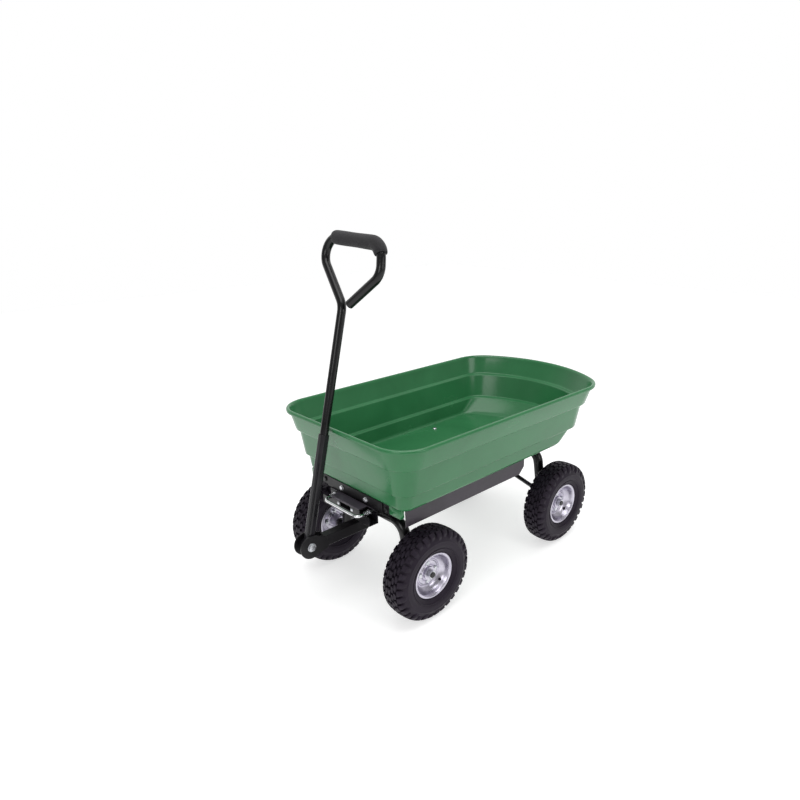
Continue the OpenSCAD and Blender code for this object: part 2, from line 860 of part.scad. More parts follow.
module king_nut() {
    color(zinc)
        translate([front_x, 0, front_arch_z - arch_r - big_nut_h - run_gap])
            hex_nut(big_nut_r, big_nut_h, king_r);
}

hinge_span = lug_y + lug_t / 2 + lug_gap + bracket_t;

module hinge_bolts() {
    color(zinc)
        both_sides()
            translate([tip_x, hinge_span + run_gap, tip_z])
                rotate([90, 0, 0]) {
                    translate([0, 0, -bolt_head_h])
                        cylinder(h = bolt_head_h, r = big_nut_r - bolt_head_h / 2, $fn = six);
                    translate([0, 0, -bolt_head_h / 2])
                        cylinder(h = bolt_head_h / 2 + hinge_span - lug_y + lug_t / 2 + big_nut_h, r = hinge_r);
                }
}

module hinge_nuts() {
    color(zinc)
        both_sides()
            translate([tip_x, lug_y - lug_t / 2 - nut_h, tip_z])
                rotate([-90, 0, 0])
                    hex_nut(big_nut_r - bolt_head_h / 2, nut_h, hinge_r);
}

// Wheel spindles: welded through the arch legs, with a shoulder inside the hub
module spindles(x, leg) {
    inner = leg - arch_r - spindle_in;
    outer = half_track + hub_out + end_gap + big_nut_h + spindle_tail;
    color(zinc)
        both_sides()
            translate([x, 0, axle_z])
                rotate([-90, 0, 0]) {
                    translate([0, 0, inner])
                        cylinder(h = outer - inner, r = spindle_r);
                    translate([0, 0, half_track - hub_in - end_gap - plate_t])
                        cylinder(h = plate_t, r = collar_out_r);
                }
}

module axle_nuts(x) {
    color(black)
        both_sides()
            translate([x, half_track + hub_out + end_gap, axle_z])
                rotate([-90, 0, 0])
                    hex_nut(axle_nut_r, big_nut_h, spindle_r);
}

module rear_spindles() {
    spindles(rear_x, rear_leg_y);
}

module rear_axle_nuts() {
    axle_nuts(rear_x);
}

module front_spindles() {
    spindles(front_x, front_leg_y);
}

module front_axle_nuts() {
    axle_nuts(front_x);
}

// Front axle arch, drilled for the king pin
module front_arch() {
    color(black)
        difference() {
            across(front_x)
                arch_rod(front_arch_z, front_leg_y);
            across(front_x)
                arch_bore(front_arch_z, front_leg_y);
            spindle_bores(front_x);
            translate([front_x, 0, front_arch_z - 2 * arch_r])
                cylinder(h = 4 * arch_r, r = king_r + run_gap);
        }
}

// Tongue: folded channel on the front arch that carries the handle's clevis
module tongue() {
    tongue_front = pivot_x - cheek_back;
    side_low = arch_top - tongue_h;
    color(black)
        difference() {
            union() {
                translate([front_x, 0, arch_top])
                    cylinder(h = plate_t, r = king_pad);
                translate([front_x, -tongue_half, arch_top])
                    cube([tongue_front - front_x + arch_r, 2 * tongue_half, plate_t]);
                both_sides()
                    upright(cheek_y, cheek_t) {
                        polygon([[front_x + tongue_back, arch_top + plate_t],
                            [front_x + tongue_back, side_low + cheek_t],
                            [tongue_front, side_low - cheek_t],
                            [pivot_x, pivot_z - cheek_r],
                            [pivot_x, pivot_z + cheek_r],
                            [tongue_front + arch_r, arch_top + plate_t]]);
                        translate([pivot_x, pivot_z])
                            circle(r = cheek_r);
                    }
            }
            translate([front_x, 0, arch_top - plate_t])
                cylinder(h = 3 * plate_t, r = king_r + run_gap);
            translate([pivot_x, -2 * cheek_y, pivot_z])
                rotate([-90, 0, 0])
                    cylinder(h = 4 * cheek_y, r = pivot_r);
        }
}

module pivot_bolt() {
    color(zinc)
        translate([pivot_x, 0, pivot_z])
            rotate([-90, 0, 0]) {
                translate([0, 0, tongue_half])
                    cylinder(h = bolt_head_h + plate_t / 2, r = big_nut_r - bolt_head_h / 2, $fn = six);
                translate([0, 0, -tongue_half - big_nut_h])
                    cylinder(h = 2 * tongue_half + big_nut_h + plate_t, r = pivot_r);
            }
}

module pivot_nut() {
    color(zinc)
        translate([pivot_x, -tongue_half, pivot_z])
            rotate([90, 0, 0])
                hex_nut(big_nut_r - bolt_head_h / 2, big_nut_h - bolt_head_h / 2, pivot_r);
}

// Puts a drawing of the handle (x across to the left, y along the handle) on its pivot
module on_handle() {
    translate([pivot_x, 0, pivot_z])
        rotate([0, -handle_lean, 0])
            rotate([90, 0, 90])
                children();
}

// Drilled from the right for the screw that joins the two halves of the handle
module joint_hole() {
    on_handle()
        translate([-lower_w, joint_s, 0])
            rotate([0, 90, 0])
                cylinder(h = lower_w, r = bolt_r / 2 + bolt_gap);
}

// Lower handle: square tube with softened edges on a pivot eye
module lower_handle() {
    h = lower_w / 2;
    color(charcoal)
        difference() {
            on_handle() {
                intersection() {
                    translate([-h, 0, -h])
                        cube([lower_w, lower_len, lower_w]);
                    translate([0, -h, 0])
                        rotate([-90, 0, 0])
                            cylinder(h = lower_len + lower_w, r = lower_round);
                }
                rotate([0, 90, 0])
                    translate([0, 0, -cheek_y + run_gap])
                        cylinder(h = 2 * (cheek_y - run_gap), r = eye_out);
            }
            on_handle() {
                translate([0, lower_len - sleeve_lap - eye_out, 0])
                    rotate([-90, 0, 0])
                        cylinder(h = lower_len, r = tube_r + run_gap);
                translate([-h + lower_t, eye_out + lower_t, -h + lower_t])
                    cube([lower_w - 2 * lower_t, lower_len - sleeve_lap - eye_out - lower_t,
                        lower_w - 2 * lower_t]);
                rotate([0, 90, 0])
                    translate([0, 0, -2 * cheek_y])
                        cylinder(h = 4 * cheek_y, r = pivot_r + run_gap);
            }
            joint_hole();
        }
}

loop_path = [[0, lower_len - sleeve_lap], [0, fork_s], [-loop_left_y, top_s], [loop_right_y, top_s],
    [loop_end_y, fork_s]];
loop_bends = [0, fork_bend, loop_bend, loop_bend, 0];

// Upper handle: one bent tube, a stem that opens into a hand loop with a free end
module upper_handle() {
    color(black)
        difference() {
            on_handle()
                bent_rod(loop_path, loop_bends, tube_r);
            on_handle()
                bent_bore(loop_path, loop_bends, tube_r, tube_wall);
            joint_hole();
        }
}

// Foam grip on the top bar, wrapped round the right shoulder
module grip_rod(r, over) {
    t = tangent(loop_path, loop_bends, 3);
    translate([-grip_start - over, top_s, 0])
        rotate([0, 90, 0])
            cylinder(h = loop_right_y - t + grip_start + over + bend_lap, r = r);
    translate([loop_right_y - t, top_s - loop_bend, 0])
        rotate([0, 0, 90 - grip_wrap - over])
            rotate_extrude(angle = grip_wrap + over)
                translate([loop_bend, 0])
                    circle(r = r + bend_swell);
}

module grip() {
    color(foam)
        on_handle()
            difference() {
                grip_rod(grip_r, 0);
                grip_rod(tube_r + bend_swell + run_gap, plug_t);
                bent_rod(loop_path, loop_bends, tube_r + run_gap);
            }
}

module end_plug() {
    d = unit(loop_path[4] - loop_path[3]);
    color(black)
        on_handle()
            translate([loop_path[4][0], loop_path[4][1], 0])
                rotate([0, 90, atan2(d[1], d[0])]) {
                    cylinder(h = plug_t, r1 = tube_r, r2 = tube_r * skin_share);
                    translate([0, 0, -plug_in])
                        cylinder(h = plug_in, r = tube_r - tube_wall);
                }
}

// Screw from the right side that joins the two halves of the handle
module joint_bolt() {
    h = lower_w / 2;
    color(zinc)
        on_handle()
            translate([-h, joint_s, 0])
                rotate([0, 90, 0]) {
                    cylinder(h = h - tube_r + 2 * tube_wall, r = bolt_r / 2);
                    translate([0, 0, -bolt_head_h / 2])
                        cylinder(h = bolt_head_h / 2, r = bolt_r);
                }
}

// Latch bail: bent rod whose two arms are the pull pins
module bail() {
    pin_end = bearer_x - pin_tail;
    color(chrome)
        translate([0, 0, bail_z])
            bent_rod([[pin_end, -bail_y], [bail_x, -bail_y], [bail_x, bail_y], [pin_end, bail_y]],
                [0, bail_bend, bail_bend, 0], bail_r);
}

module bail_collars() {
    color(zinc)
        both_sides()
            translate([collar_x, bail_y, bail_z])
                rotate([0, 90, 0])
                    difference() {
                        cylinder(h = collar_w, r = collar_r);
                        translate([0, 0, -collar_w])
                            cylinder(h = 3 * collar_w, r = bail_r);
                    }
}

spring_x0 = collar_x + collar_w + spring_wire;
spring_len = house_front - plate_t - spring_x0 - spring_wire;
spring_pitch = spring_len / spring_turns;
echo(spring_curl_gap = spring_pitch - 2 * spring_wire);

// Compression spring round an arm: one unbroken tube
module coil() {
    n = spring_turns * sweep_pts;
    points = [for (i = [0 : n]) let (a = 360 * i / sweep_pts, x = spring_len * i / n)
        for (k = [0 : wire_sides - 1]) let (b = 360 * k / wire_sides,
            r = spring_r + spring_wire * cos(b))
            [x + spring_wire * sin(b), r * cos(a), r * sin(a)]];
    sides = [for (i = [0 : n - 1]) for (k = [0 : wire_sides - 1]) let (j = (k + 1) % wire_sides)
        each [[i * wire_sides + k, i * wire_sides + j, (i + 1) * wire_sides + j],
            [i * wire_sides + k, (i + 1) * wire_sides + j, (i + 1) * wire_sides + k]]];
    first = [for (k = [wire_sides - 1 : -1 : 0]) k];
    last = [for (k = [0 : wire_sides - 1]) n * wire_sides + k];
    polyhedron(points = points, faces = concat(sides, [first], [last]), convexity = 12);
}

module bail_springs() {
    color(chrome)
        for (y = [-bail_y, bail_y])
            translate([spring_x0, y, bail_z])
                coil();
}

// Wheel pieces stand on the origin with their axis on +Z, outer side up
module ring(points) {
    rotate_extrude()
        polygon(points);
}

function mirrored(p) = concat(p, [for (i = [len(p) - 1 : -1 : 0]) [p[i][0], -p[i][1]]]);

bulge_r = (tyre_r + rim_r) / 2;
shoulder_r = tyre_r - tread_depth - shoulder_drop;
groove_in = centre_band;
groove_out = centre_band + groove_w;
tread_edge = tyre_w / 2 - tread_depth;

module tyre() {
    w = tyre_w / 2;
    outer = [[tyre_r, groove_in], [tyre_r - tread_depth, groove_in], [tyre_r - tread_depth, groove_out],
        [tyre_r - rim_t / 2, groove_out], [tyre_r - rim_t / 2, tread_edge - tread_depth], [shoulder_r, tread_edge],
        [bulge_r + bead_t, w], [bulge_r, w], [rim_r + bead_t, w - tread_depth], [rim_r + rim_t, rim_half_w],
        [bead_r, rim_half_w], [bead_r, bead_in], [cavity_low, bead_in],
        [cavity_low + bead_t, cavity_half], [cavity_top - bead_t, cavity_half],
        [cavity_top, cavity_half - bead_t]];
    flip = [for (i = [len(outer) - 1 : -1 : 0]) [outer[i][0], -outer[i][1]]];
    step = 360 / tread_count;
    color(rubber)
        difference() {
            ring(concat(outer, flip));
            for (i = [0 : tread_count - 1]) {
                rotate([0, 0, i * step])
                    translate([tyre_r - tread_depth, -tread_gap / 2, w - shoulder_len])
                        cube([tread_depth + slot_over, tread_gap, shoulder_len + slot_over]);
                rotate([0, 0, (i + 0.5) * step])
                    translate([tyre_r - tread_depth, -tread_gap / 2, -w - slot_over])
                        cube([tread_depth + slot_over, tread_gap, shoulder_len + slot_over]);
                rotate([0, 0, (i + 0.25) * step])
                    translate([tyre_r - tread_depth, -tread_gap / 3, -groove_in - rim_t])
                        cube([tread_depth + slot_over, 2 * tread_gap / 3, 2 * groove_in + 2 * rim_t]);
            }
        }
}

module valve(r) {
    translate([cavity_low + valve_z, 0, valve_z])
        rotate([0, -90 + valve_tilt, 0])
            cylinder(h = valve_len, r = r);
}

module inner_tube() {
    outer = [[cavity_low, bead_in], [cavity_low + bead_t, cavity_half], [cavity_top - bead_t, cavity_half],
        [cavity_top, cavity_half - bead_t]];
    t = tube_t;
    inner = [[cavity_low + t, bead_in - t], [cavity_low + bead_t + t, cavity_half - t],
        [cavity_top - bead_t - t / 2, cavity_half - t], [cavity_top - t, cavity_half - bead_t - t / 2]];
    color(rubber) {
        difference() {
            ring(mirrored(outer));
            ring(mirrored(inner));
        }
        difference() {
            valve(valve_r);
            ring(mirrored(inner));
        }
    }
}

module rim_half() {
    k = rim_t * skin_share;
    difference() {
        ring([[hub_r, 0], [disc_r, 0], [bead_r, cone_h], [bead_r, rim_half_w], [rim_r, rim_half_w],
            [rim_r, rim_half_w + rim_t], [bead_r - rim_t, rim_half_w + rim_t], [bead_r - rim_t, cone_h + k],
            [disc_r - k / 2, rim_t], [hub_r, rim_t]]);
        for (i = [0 : rim_bolt_count - 1])
            rotate([0, 0, (i + 0.5) * 360 / rim_bolt_count])
                translate([rim_bolt_pitch, 0, -rim_t])
                    cylinder(h = 3 * rim_t, r = bolt_r + bolt_gap);
    }
}

module rim_outer() {
    color(zinc)
        difference() {
            rim_half();
            valve(valve_r + bolt_gap);
        }
}

module rim_inner() {
    color(zinc)
        mirror([0, 0, 1])
            rim_half();
}

module hub() {
    color(zinc)
        difference() {
            translate([0, 0, -hub_in])
                cylinder(h = hub_in + hub_out, r = hub_r);
            translate([0, 0, -hub_in + bearing_w])
                cylinder(h = hub_in + hub_out - 2 * bearing_w, r = hub_r - hub_t);
            translate([0, 0, -2 * hub_in])
                cylinder(h = 4 * hub_in, r = spindle_r + run_gap);
        }
}

module rim_bolts() {
    color(zinc)
        for (i = [0 : rim_bolt_count - 1])
            rotate([0, 0, (i + 0.5) * 360 / rim_bolt_count])
                translate([rim_bolt_pitch, 0, 0]) {
                    translate([0, 0, rim_t])
                        cylinder(h = bolt_head_h, r = nut_r, $fn = six);
                    translate([0, 0, -rim_t - shank_tail + rim_t])
                        cylinder(h = 2 * rim_t + shank_tail, r = bolt_r);
                    translate([0, 0, -rim_t - nut_h])
                        cylinder(h = nut_h, r = nut_r, $fn = six);
                }
}

// Stands a wheel piece in its place, its valve to the rear and down; side is +1 on the left and -1 on the right
module in_place(x, side) {
    translate([x, side * half_track, axle_z])
        rotate([-side * 90, 0, 0])
            rotate([0, 0, -side * 360 * valve_share])
                children();
}

tray();
left_rail();
right_rail();
front_bearer();
front_plate();
plate_bolts();
plate_nuts();
floor_bolts();
floor_nuts();
hinge_brackets();
bracket_screws();
rear_arch();
rear_brace();
chassis_bars();
front_base();
base_screws();
king_pin();
king_nut();
hinge_bolts();
hinge_nuts();
rear_spindles();
rear_axle_nuts();
front_arch();
tongue();
front_spindles();
front_axle_nuts();
pivot_bolt();
pivot_nut();
lower_handle();
upper_handle();
grip();
end_plug();
joint_bolt();
bail();
bail_collars();
bail_springs();
in_place(front_x, 1) tyre();  // fl_tyre
in_place(front_x, 1) inner_tube();  // fl_inner_tube
in_place(front_x, 1) rim_outer();  // fl_rim_outer
in_place(front_x, 1) rim_inner();  // fl_rim_inner
in_place(front_x, 1) hub();  // fl_hub
in_place(front_x, 1) rim_bolts();  // fl_rim_bolts
in_place(front_x, -1) tyre();  // fr_tyre
in_place(front_x, -1) inner_tube();  // fr_inner_tube
in_place(front_x, -1) rim_outer();  // fr_rim_outer
in_place(front_x, -1) rim_inner();  // fr_rim_inner
in_place(front_x, -1) hub();  // fr_hub
in_place(front_x, -1) rim_bolts();  // fr_rim_bolts
in_place(rear_x, 1) tyre();  // rl_tyre
in_place(rear_x, 1) inner_tube();  // rl_inner_tube
in_place(rear_x, 1) rim_outer();  // rl_rim_outer
in_place(rear_x, 1) rim_inner();  // rl_rim_inner
in_place(rear_x, 1) hub();  // rl_hub
in_place(rear_x, 1) rim_bolts();  // rl_rim_bolts
in_place(rear_x, -1) tyre();  // rr_tyre
in_place(rear_x, -1) inner_tube();  // rr_inner_tube
in_place(rear_x, -1) rim_outer();  // rr_rim_outer
in_place(rear_x, -1) rim_inner();  // rr_rim_inner
in_place(rear_x, -1) hub();  // rr_hub
in_place(rear_x, -1) rim_bolts();  // rr_rim_bolts
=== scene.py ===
import math

import bmesh
import bpy
from mathutils import Matrix, Vector


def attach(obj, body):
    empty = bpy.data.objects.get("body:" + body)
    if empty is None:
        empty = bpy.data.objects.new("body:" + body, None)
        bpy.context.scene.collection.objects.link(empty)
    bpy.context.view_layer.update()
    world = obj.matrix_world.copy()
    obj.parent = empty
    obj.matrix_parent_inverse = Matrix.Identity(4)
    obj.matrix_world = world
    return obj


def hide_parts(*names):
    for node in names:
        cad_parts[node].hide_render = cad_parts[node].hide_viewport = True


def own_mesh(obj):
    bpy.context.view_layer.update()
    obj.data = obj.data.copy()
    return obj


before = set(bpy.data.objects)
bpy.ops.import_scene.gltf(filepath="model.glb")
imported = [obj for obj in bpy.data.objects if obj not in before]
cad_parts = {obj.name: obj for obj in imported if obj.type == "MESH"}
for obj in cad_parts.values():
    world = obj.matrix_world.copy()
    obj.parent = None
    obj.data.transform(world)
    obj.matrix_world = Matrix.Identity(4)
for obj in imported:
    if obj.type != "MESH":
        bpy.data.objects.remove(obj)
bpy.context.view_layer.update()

# Rear chassis: a bent tube arch over the rear axle, two box bars that run forward to the swivel,
# and a bent rod brace between them. Welded mild steel, powder coated gloss black as one frame.
MM = 0.001


def linear(hex_code):
    """An sRGB hex colour as the linear colour that a shader socket takes."""
    parts = [int(hex_code[i:i + 2], 16) / 255 for i in (0, 2, 4)]
    return tuple(c / 12.92 if c <= 0.04045 else ((c + 0.055) / 1.055) ** 2.4 for c in parts) + (1.0,)


def add_node(tree, kind, settings=None, inputs=None):
    """Adds a node; an input is a plain value, or a (node, output) pair that gets linked."""
    made = tree.nodes.new(kind)
    for key, value in (settings or {}).items():
        setattr(made, key, value)
    for key, value in (inputs or {}).items():
        if isinstance(value, tuple) and isinstance(value[0], bpy.types.Node):
            tree.links.new(value[0].outputs[value[1]], made.inputs[key])
        else:
            made.inputs[key].default_value = value
    return made


def start_material(name):
    """A material with an empty tree, and the coordinates that its patterns use."""
    made = bpy.data.materials.new(name)
    made.use_nodes = True
    made.node_tree.nodes.clear()
    return made, made.node_tree, add_node(made.node_tree, "ShaderNodeTexCoord")


def noise(tree, where, size, detail, more=None):
    """Noise in the object's own space, with patches about size mm across."""
    return add_node(tree, "ShaderNodeTexNoise", inputs={
        "Vector": (where, "Object"), "Scale": 1 / (size * MM), "Detail": detail, **(more or {})})


def two_tones(tree, pattern, low, high, at=(0.35, 0.65)):
    """A ramp between two hex colours, driven by noise."""
    ramp = add_node(tree, "ShaderNodeValToRGB", inputs={"Fac": (pattern, "Fac")})
    for stop, place, tone in zip(ramp.color_ramp.elements, at, (low, high)):
        stop.position = place
        stop.color = linear(tone)
    return ramp


def spread(tree, pattern, low, high):
    """Noise spread over a range of roughness."""
    return add_node(tree, "ShaderNodeMapRange", inputs={
        "Value": (pattern, "Fac"), "From Min": 0.3, "From Max": 0.7, "To Min": low, "To Max": high})


def bumped(tree, pattern, strength, depth, under=None, output="Fac"):
    """A bump from a pattern, its depth in mm, on top of an earlier normal if there is one."""
    inputs = {"Height": (pattern, output), "Strength": strength, "Distance": depth * MM}
    if under is not None:
        inputs["Normal"] = (under, "Normal")
    return add_node(tree, "ShaderNodeBump", inputs=inputs)


def close_material(tree, inputs):
    """Ends a material with one shader that has these inputs."""
    shader = add_node(tree, "ShaderNodeBsdfPrincipled", inputs=inputs)
    add_node(tree, "ShaderNodeOutputMaterial", inputs={"Surface": (shader, "BSDF")})


def powder_coat(name, low, high, gloss):
    """Baked powder coat: a thick paint skin with a faint orange peel and softened sheet edges."""
    made, tree, where = start_material(name)
    cloud = noise(tree, where, 70, 4.0)
    tone = two_tones(tree, cloud, low, high)
    shine = spread(tree, cloud, gloss, gloss + 0.12)
    # the peel's real waves are about 1.5 mm long; drawn at 3 mm so that they show in the render
    peel = noise(tree, where, 3, 2.0)
    edge = add_node(tree, "ShaderNodeBevel", {"samples": 4}, {"Radius": 1.2 * MM})
    bump = bumped(tree, peel, 0.18, 0.25, edge)
    close_material(tree, {
        "Base Color": (tone, "Color"), "Roughness": (shine, "Result"), "Normal": (bump, "Normal"),
        "IOR": 1.45, "Specular IOR Level": 0.35, "Coat Weight": 0.12, "Coat Roughness": 0.1})
    return made


def coat_nodes(material, *names):
    """Gives CAD nodes a finish through their own material slots."""
    for name in names:
        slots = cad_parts[name].data.materials
        slots.clear()
        slots.append(material)


black_coat = powder_coat("powder_coated_steel_black", "070708", "0e0d10", 0.2)
coat_nodes(black_coat, "rear_arch", "chassis_bars", "hinge_brackets")


def start_tree(name, sockets):
    """An empty Geometry Nodes tree with named inputs, and its input and output nodes."""
    tree = bpy.data.node_groups.new(name, "GeometryNodeTree")
    tree.interface.new_socket("Geometry", in_out="INPUT", socket_type="NodeSocketGeometry")
    for label, kind in sockets:
        tree.interface.new_socket(label, in_out="INPUT", socket_type=kind)
    tree.interface.new_socket("Geometry", in_out="OUTPUT", socket_type="NodeSocketGeometry")
    return tree, tree.nodes.new("NodeGroupInput"), tree.nodes.new("NodeGroupOutput")


def close_tree(tree, given, result, source, output):
    """Realizes what a tree has made, gives it the finish and hands it out."""
    whole = add_node(tree, "GeometryNodeRealizeInstances", inputs={"Geometry": (source, output)})
    done = add_node(tree, "GeometryNodeSetMaterial", inputs={
        "Geometry": (whole, "Geometry"), "Material": (given, "Finish")})
    tree.links.new(done.outputs["Geometry"], result.inputs["Geometry"])
    return tree


def stand(name, data):
    """A new object in the scene."""
    made = bpy.data.objects.new(name, data)
    bpy.context.scene.collection.objects.link(made)
    return made


def plain_object(name, points, edges=()):
    """A bare mesh of points and edges that a tree reads."""
    mesh = bpy.data.meshes.new(name)
    mesh.from_pydata([tuple(p) for p in points], list(edges), [])
    return stand(name, mesh)


def run_tree(tree, base, values):
    """Runs a tree on an object, returns the result as a plain mesh and removes the object."""
    grown = base.modifiers.new("grown", "NODES")
    grown.node_group = tree
    for item in tree.interface.items_tree:
        if item.item_type == "SOCKET" and item.in_out == "INPUT" and item.name in values:
            grown[item.identifier] = values[item.name]
    bpy.context.view_layer.update()
    mesh = bpy.data.meshes.new_from_object(base.evaluated_get(bpy.context.evaluated_depsgraph_get()))
    base.modifiers.remove(grown)
    bpy.data.objects.remove(base)
    return mesh


def rod_tree():
    """Sweeps a round rod or tube along a line of edges."""
    tree, given, result = start_tree("bent_round_rod", [
        ("Radius", "NodeSocketFloat"), ("Sides", "NodeSocketInt"), ("Finish", "NodeSocketMaterial")])
    line = add_node(tree, "GeometryNodeMeshToCurve", inputs={"Mesh": (given, "Geometry")})
    ring = add_node(tree, "GeometryNodeCurvePrimitiveCircle", inputs={
        "Resolution": (given, "Sides"), "Radius": (given, "Radius")})
    skin = add_node(tree, "GeometryNodeCurveToMesh", inputs={
        "Curve": (line, "Curve"), "Profile Curve": (ring, "Curve"), "Fill Caps": True})
    return close_tree(tree, given, result, skin, "Mesh")


bent_round_rod = rod_tree()


def bent_rod(points, radius, finish, sides=28):
    """The mesh of a round rod along points in metres."""
    base = plain_object("rod_line", points, [(i, i + 1) for i in range(len(points) - 1)])
    return run_tree(bent_round_rod, base, {"Radius": radius, "Sides": sides, "Finish": finish})


def rounded_path(corners, radii, step=6):
    """Points along a 3-D path whose corners are bent to the given radii; step is in degrees."""
    corners = [Vector(c) for c in corners]
    out = [corners[0]]
    for i in range(1, len(corners) - 1):
        a, b = (corners[i] - corners[i - 1]).normalized(), (corners[i + 1] - corners[i]).normalized()
        turn = a.angle(b)
        side = (b - a * a.dot(b)).normalized()
        start = corners[i] - a * radii[i] * math.tan(turn / 2)
        centre = start + side * radii[i]
        count = max(2, int(math.degrees(turn) / step))
        for k in range(count + 1):
            angle = turn * k / count
            out.append(centre - side * radii[i] * math.cos(angle) + a * radii[i] * math.sin(angle))
    return out + [corners[-1]]


def add_piece(name, mesh, body, slot, *nodes, angle=40):
    """Stands a finished mesh in the scene as a piece that rides on a CAD body."""
    mesh.shade_smooth()
    mesh.set_sharp_from_angle(angle=math.radians(angle))
    made = stand(name, mesh)
    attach(made, body)
    if nodes:
        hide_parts(*nodes)
    return made


# places and sizes are in mm, in the frame that the CAD and the scene share
REAR_X, FRONT_X, AXLE_Z = -307, 261, 130
ARCH_R, SPINDLE_R, LEG_SPLAY = 15, 8, math.radians(9)
brace_z, brace_run, brace_y, brace_fall = 257.55, 144, 134, 112.55
brace_r, brace_bend = 6.5, 25
brace_lean = math.atan2(brace_fall, brace_run)
brace_leg = math.hypot(brace_fall, brace_run)


def on_brace(y, along):
    """A point on the brace's leaning plane, by its place across and its distance down from the top."""
    x = REAR_X + brace_run - along * math.cos(brace_lean)
    return Vector((x, y, brace_z - along * math.sin(brace_lean))) * MM


brace_line = rounded_path(
    [on_brace(-brace_y, brace_leg), on_brace(-brace_y, 0), on_brace(brace_y, 0), on_brace(brace_y, brace_leg)],
    [0, brace_bend * MM, brace_bend * MM, 0])
brace_mesh = bent_rod(brace_line, brace_r * MM, black_coat)
add_piece("rear_brace_rod", brace_mesh, "chassis", "black_paint", "rear_brace")


def bead_tree():
    """Lays overlapping drops of weld along a line."""
    tree, given, result = start_tree("weld_bead", [
        ("Drop", "NodeSocketFloat"), ("Pitch", "NodeSocketFloat"), ("Finish", "NodeSocketMaterial")])
    line = add_node(tree, "GeometryNodeMeshToCurve", inputs={"Mesh": (given, "Geometry")})
    spots = add_node(tree, "GeometryNodeResampleCurve", {"mode": "LENGTH"}, {
        "Curve": (line, "Curve"), "Length": (given, "Pitch")})
    drop = add_node(tree, "GeometryNodeMeshUVSphere", inputs={
        "Segments": 8, "Rings": 5, "Radius": (given, "Drop")})
    laid = add_node(tree, "GeometryNodeInstanceOnPoints", inputs={
        "Points": (spots, "Curve"), "Instance": (drop, "Mesh")})
    return close_tree(tree, given, result, laid, "Instances")


weld_bead = bead_tree()


def weld(loops, finish):
    """Beads along closed loops of points in metres, as one mesh."""
    points, edges = [], []
    for loop in loops:
        first = len(points)
        points += loop
        edges += [(first + i, first + (i + 1) % len(loop)) for i in range(len(loop))]
    base = plain_object("weld_line", points, edges)
    drop_r, pitch = 1.9 * MM, 2.4 * MM
    return run_tree(weld_bead, base, {"Drop": drop_r, "Pitch": pitch, "Finish": finish})


def spindle_loops(x, leg_y):
    """Where the round spindles leave the outer side of the arch's splayed legs."""
    loops = []
    for side in (1, -1):
        loop = []
        for k in range(24):
            a = math.tau * k / 24
            dx, dz = SPINDLE_R * math.cos(a), SPINDLE_R * math.sin(a)
            out = leg_y - dz * math.tan(LEG_SPLAY) + math.sqrt(ARCH_R ** 2 - dx ** 2) / math.cos(LEG_SPLAY)
            loop.append(Vector((x + dx, side * out, AXLE_Z + dz)) * MM)
        loops.append(loop)
    return loops


def rod_end_loops():
    """Where the brace's two ends run into the arch's legs."""
    across = Vector((math.sin(brace_lean), 0, -math.cos(brace_lean)))
    bead_r, sunk = brace_r + 0.3, 16
    loops = []
    turns = [math.tau * k / 20 for k in range(20)]
    for side in (1, -1):
        at = on_brace(side * brace_y, brace_leg - sunk) / MM
        loops.append([(at + across * bead_r * math.cos(a) + Vector((0, bead_r * math.sin(a), 0))) * MM
                      for a in turns])
    return loops


rear_leg_y = 149
rear_welds = weld(spindle_loops(REAR_X, rear_leg_y) + rod_end_loops(), black_coat)
add_piece("rear_welds", rear_welds, "chassis", "black_paint")

# Swivel base and latch housing: one dark pressing under the front of the tray, its top painted a lighter grey as
# painted light from the front.
# The king pin and its nut are bright zinc plate, as are the small fasteners all over the cart.
dark_coat = powder_coat("powder_coated_steel_dark", "100f12", "1a181d", 0.24)
# the top plate's lighter grey is painted light: it stands in for the front light falling on the top
painted_lit_top_coat = powder_coat("powder_coated_steel_grey_painted_light", "4c4650", "5a535e", 0.35)


def solid_mesh(name, parts, finish):
    """One mesh of several closed shells, each with its faces turned outwards."""
    shape = bmesh.new()
    for points, faces in parts:
        made = [shape.verts.new(p) for p in points]
        skin = [shape.faces.new([made[i] for i in f]) for f in faces]
        bmesh.ops.recalc_face_normals(shape, faces=skin)
    mesh = bpy.data.meshes.new(name)
    shape.to_mesh(mesh)
    shape.free()
    mesh.materials.append(finish)
    return mesh


def skin_rows(rows, n):
    """Faces over rows of n points each, with a cap on the first row and on the last."""
    faces = []
    for k in range(rows - 1):
        for i in range(n):
            j = (i + 1) % n
            faces.append((k * n + i, k * n + j, (k + 1) * n + j, (k + 1) * n + i))
    return faces + [tuple(range(n - 1, -1, -1)), tuple(range((rows - 1) * n, rows * n))]


def block(low, high):
    """Vertices and faces of a plain box between two corners in mm."""
    (x0, y0, z0), (x1, y1, z1) = low, high
    corners = ((x0, y0), (x1, y0), (x1, y1), (x0, y1))
    return [Vector((x, y, z)) * MM for z in (z0, z1) for x, y in corners], skin_rows(2, 4)


def cut_away(mesh, boxes):
    """The mesh less a set of boxes."""
    body = stand("cut_body", mesh)
    tool = stand("cut_tool", solid_mesh("cut_tool", boxes, dark_coat))
    cut = body.modifiers.new("cut", "BOOLEAN")
    cut.operation, cut.solver, cut.object = "DIFFERENCE", "EXACT", tool
    bpy.context.view_layer.update()
    done = bpy.data.meshes.new_from_object(body.evaluated_get(bpy.context.evaluated_depsgraph_get()))
    body.modifiers.remove(cut)
    for made in (body, tool):
        bpy.data.objects.remove(made)
    return done


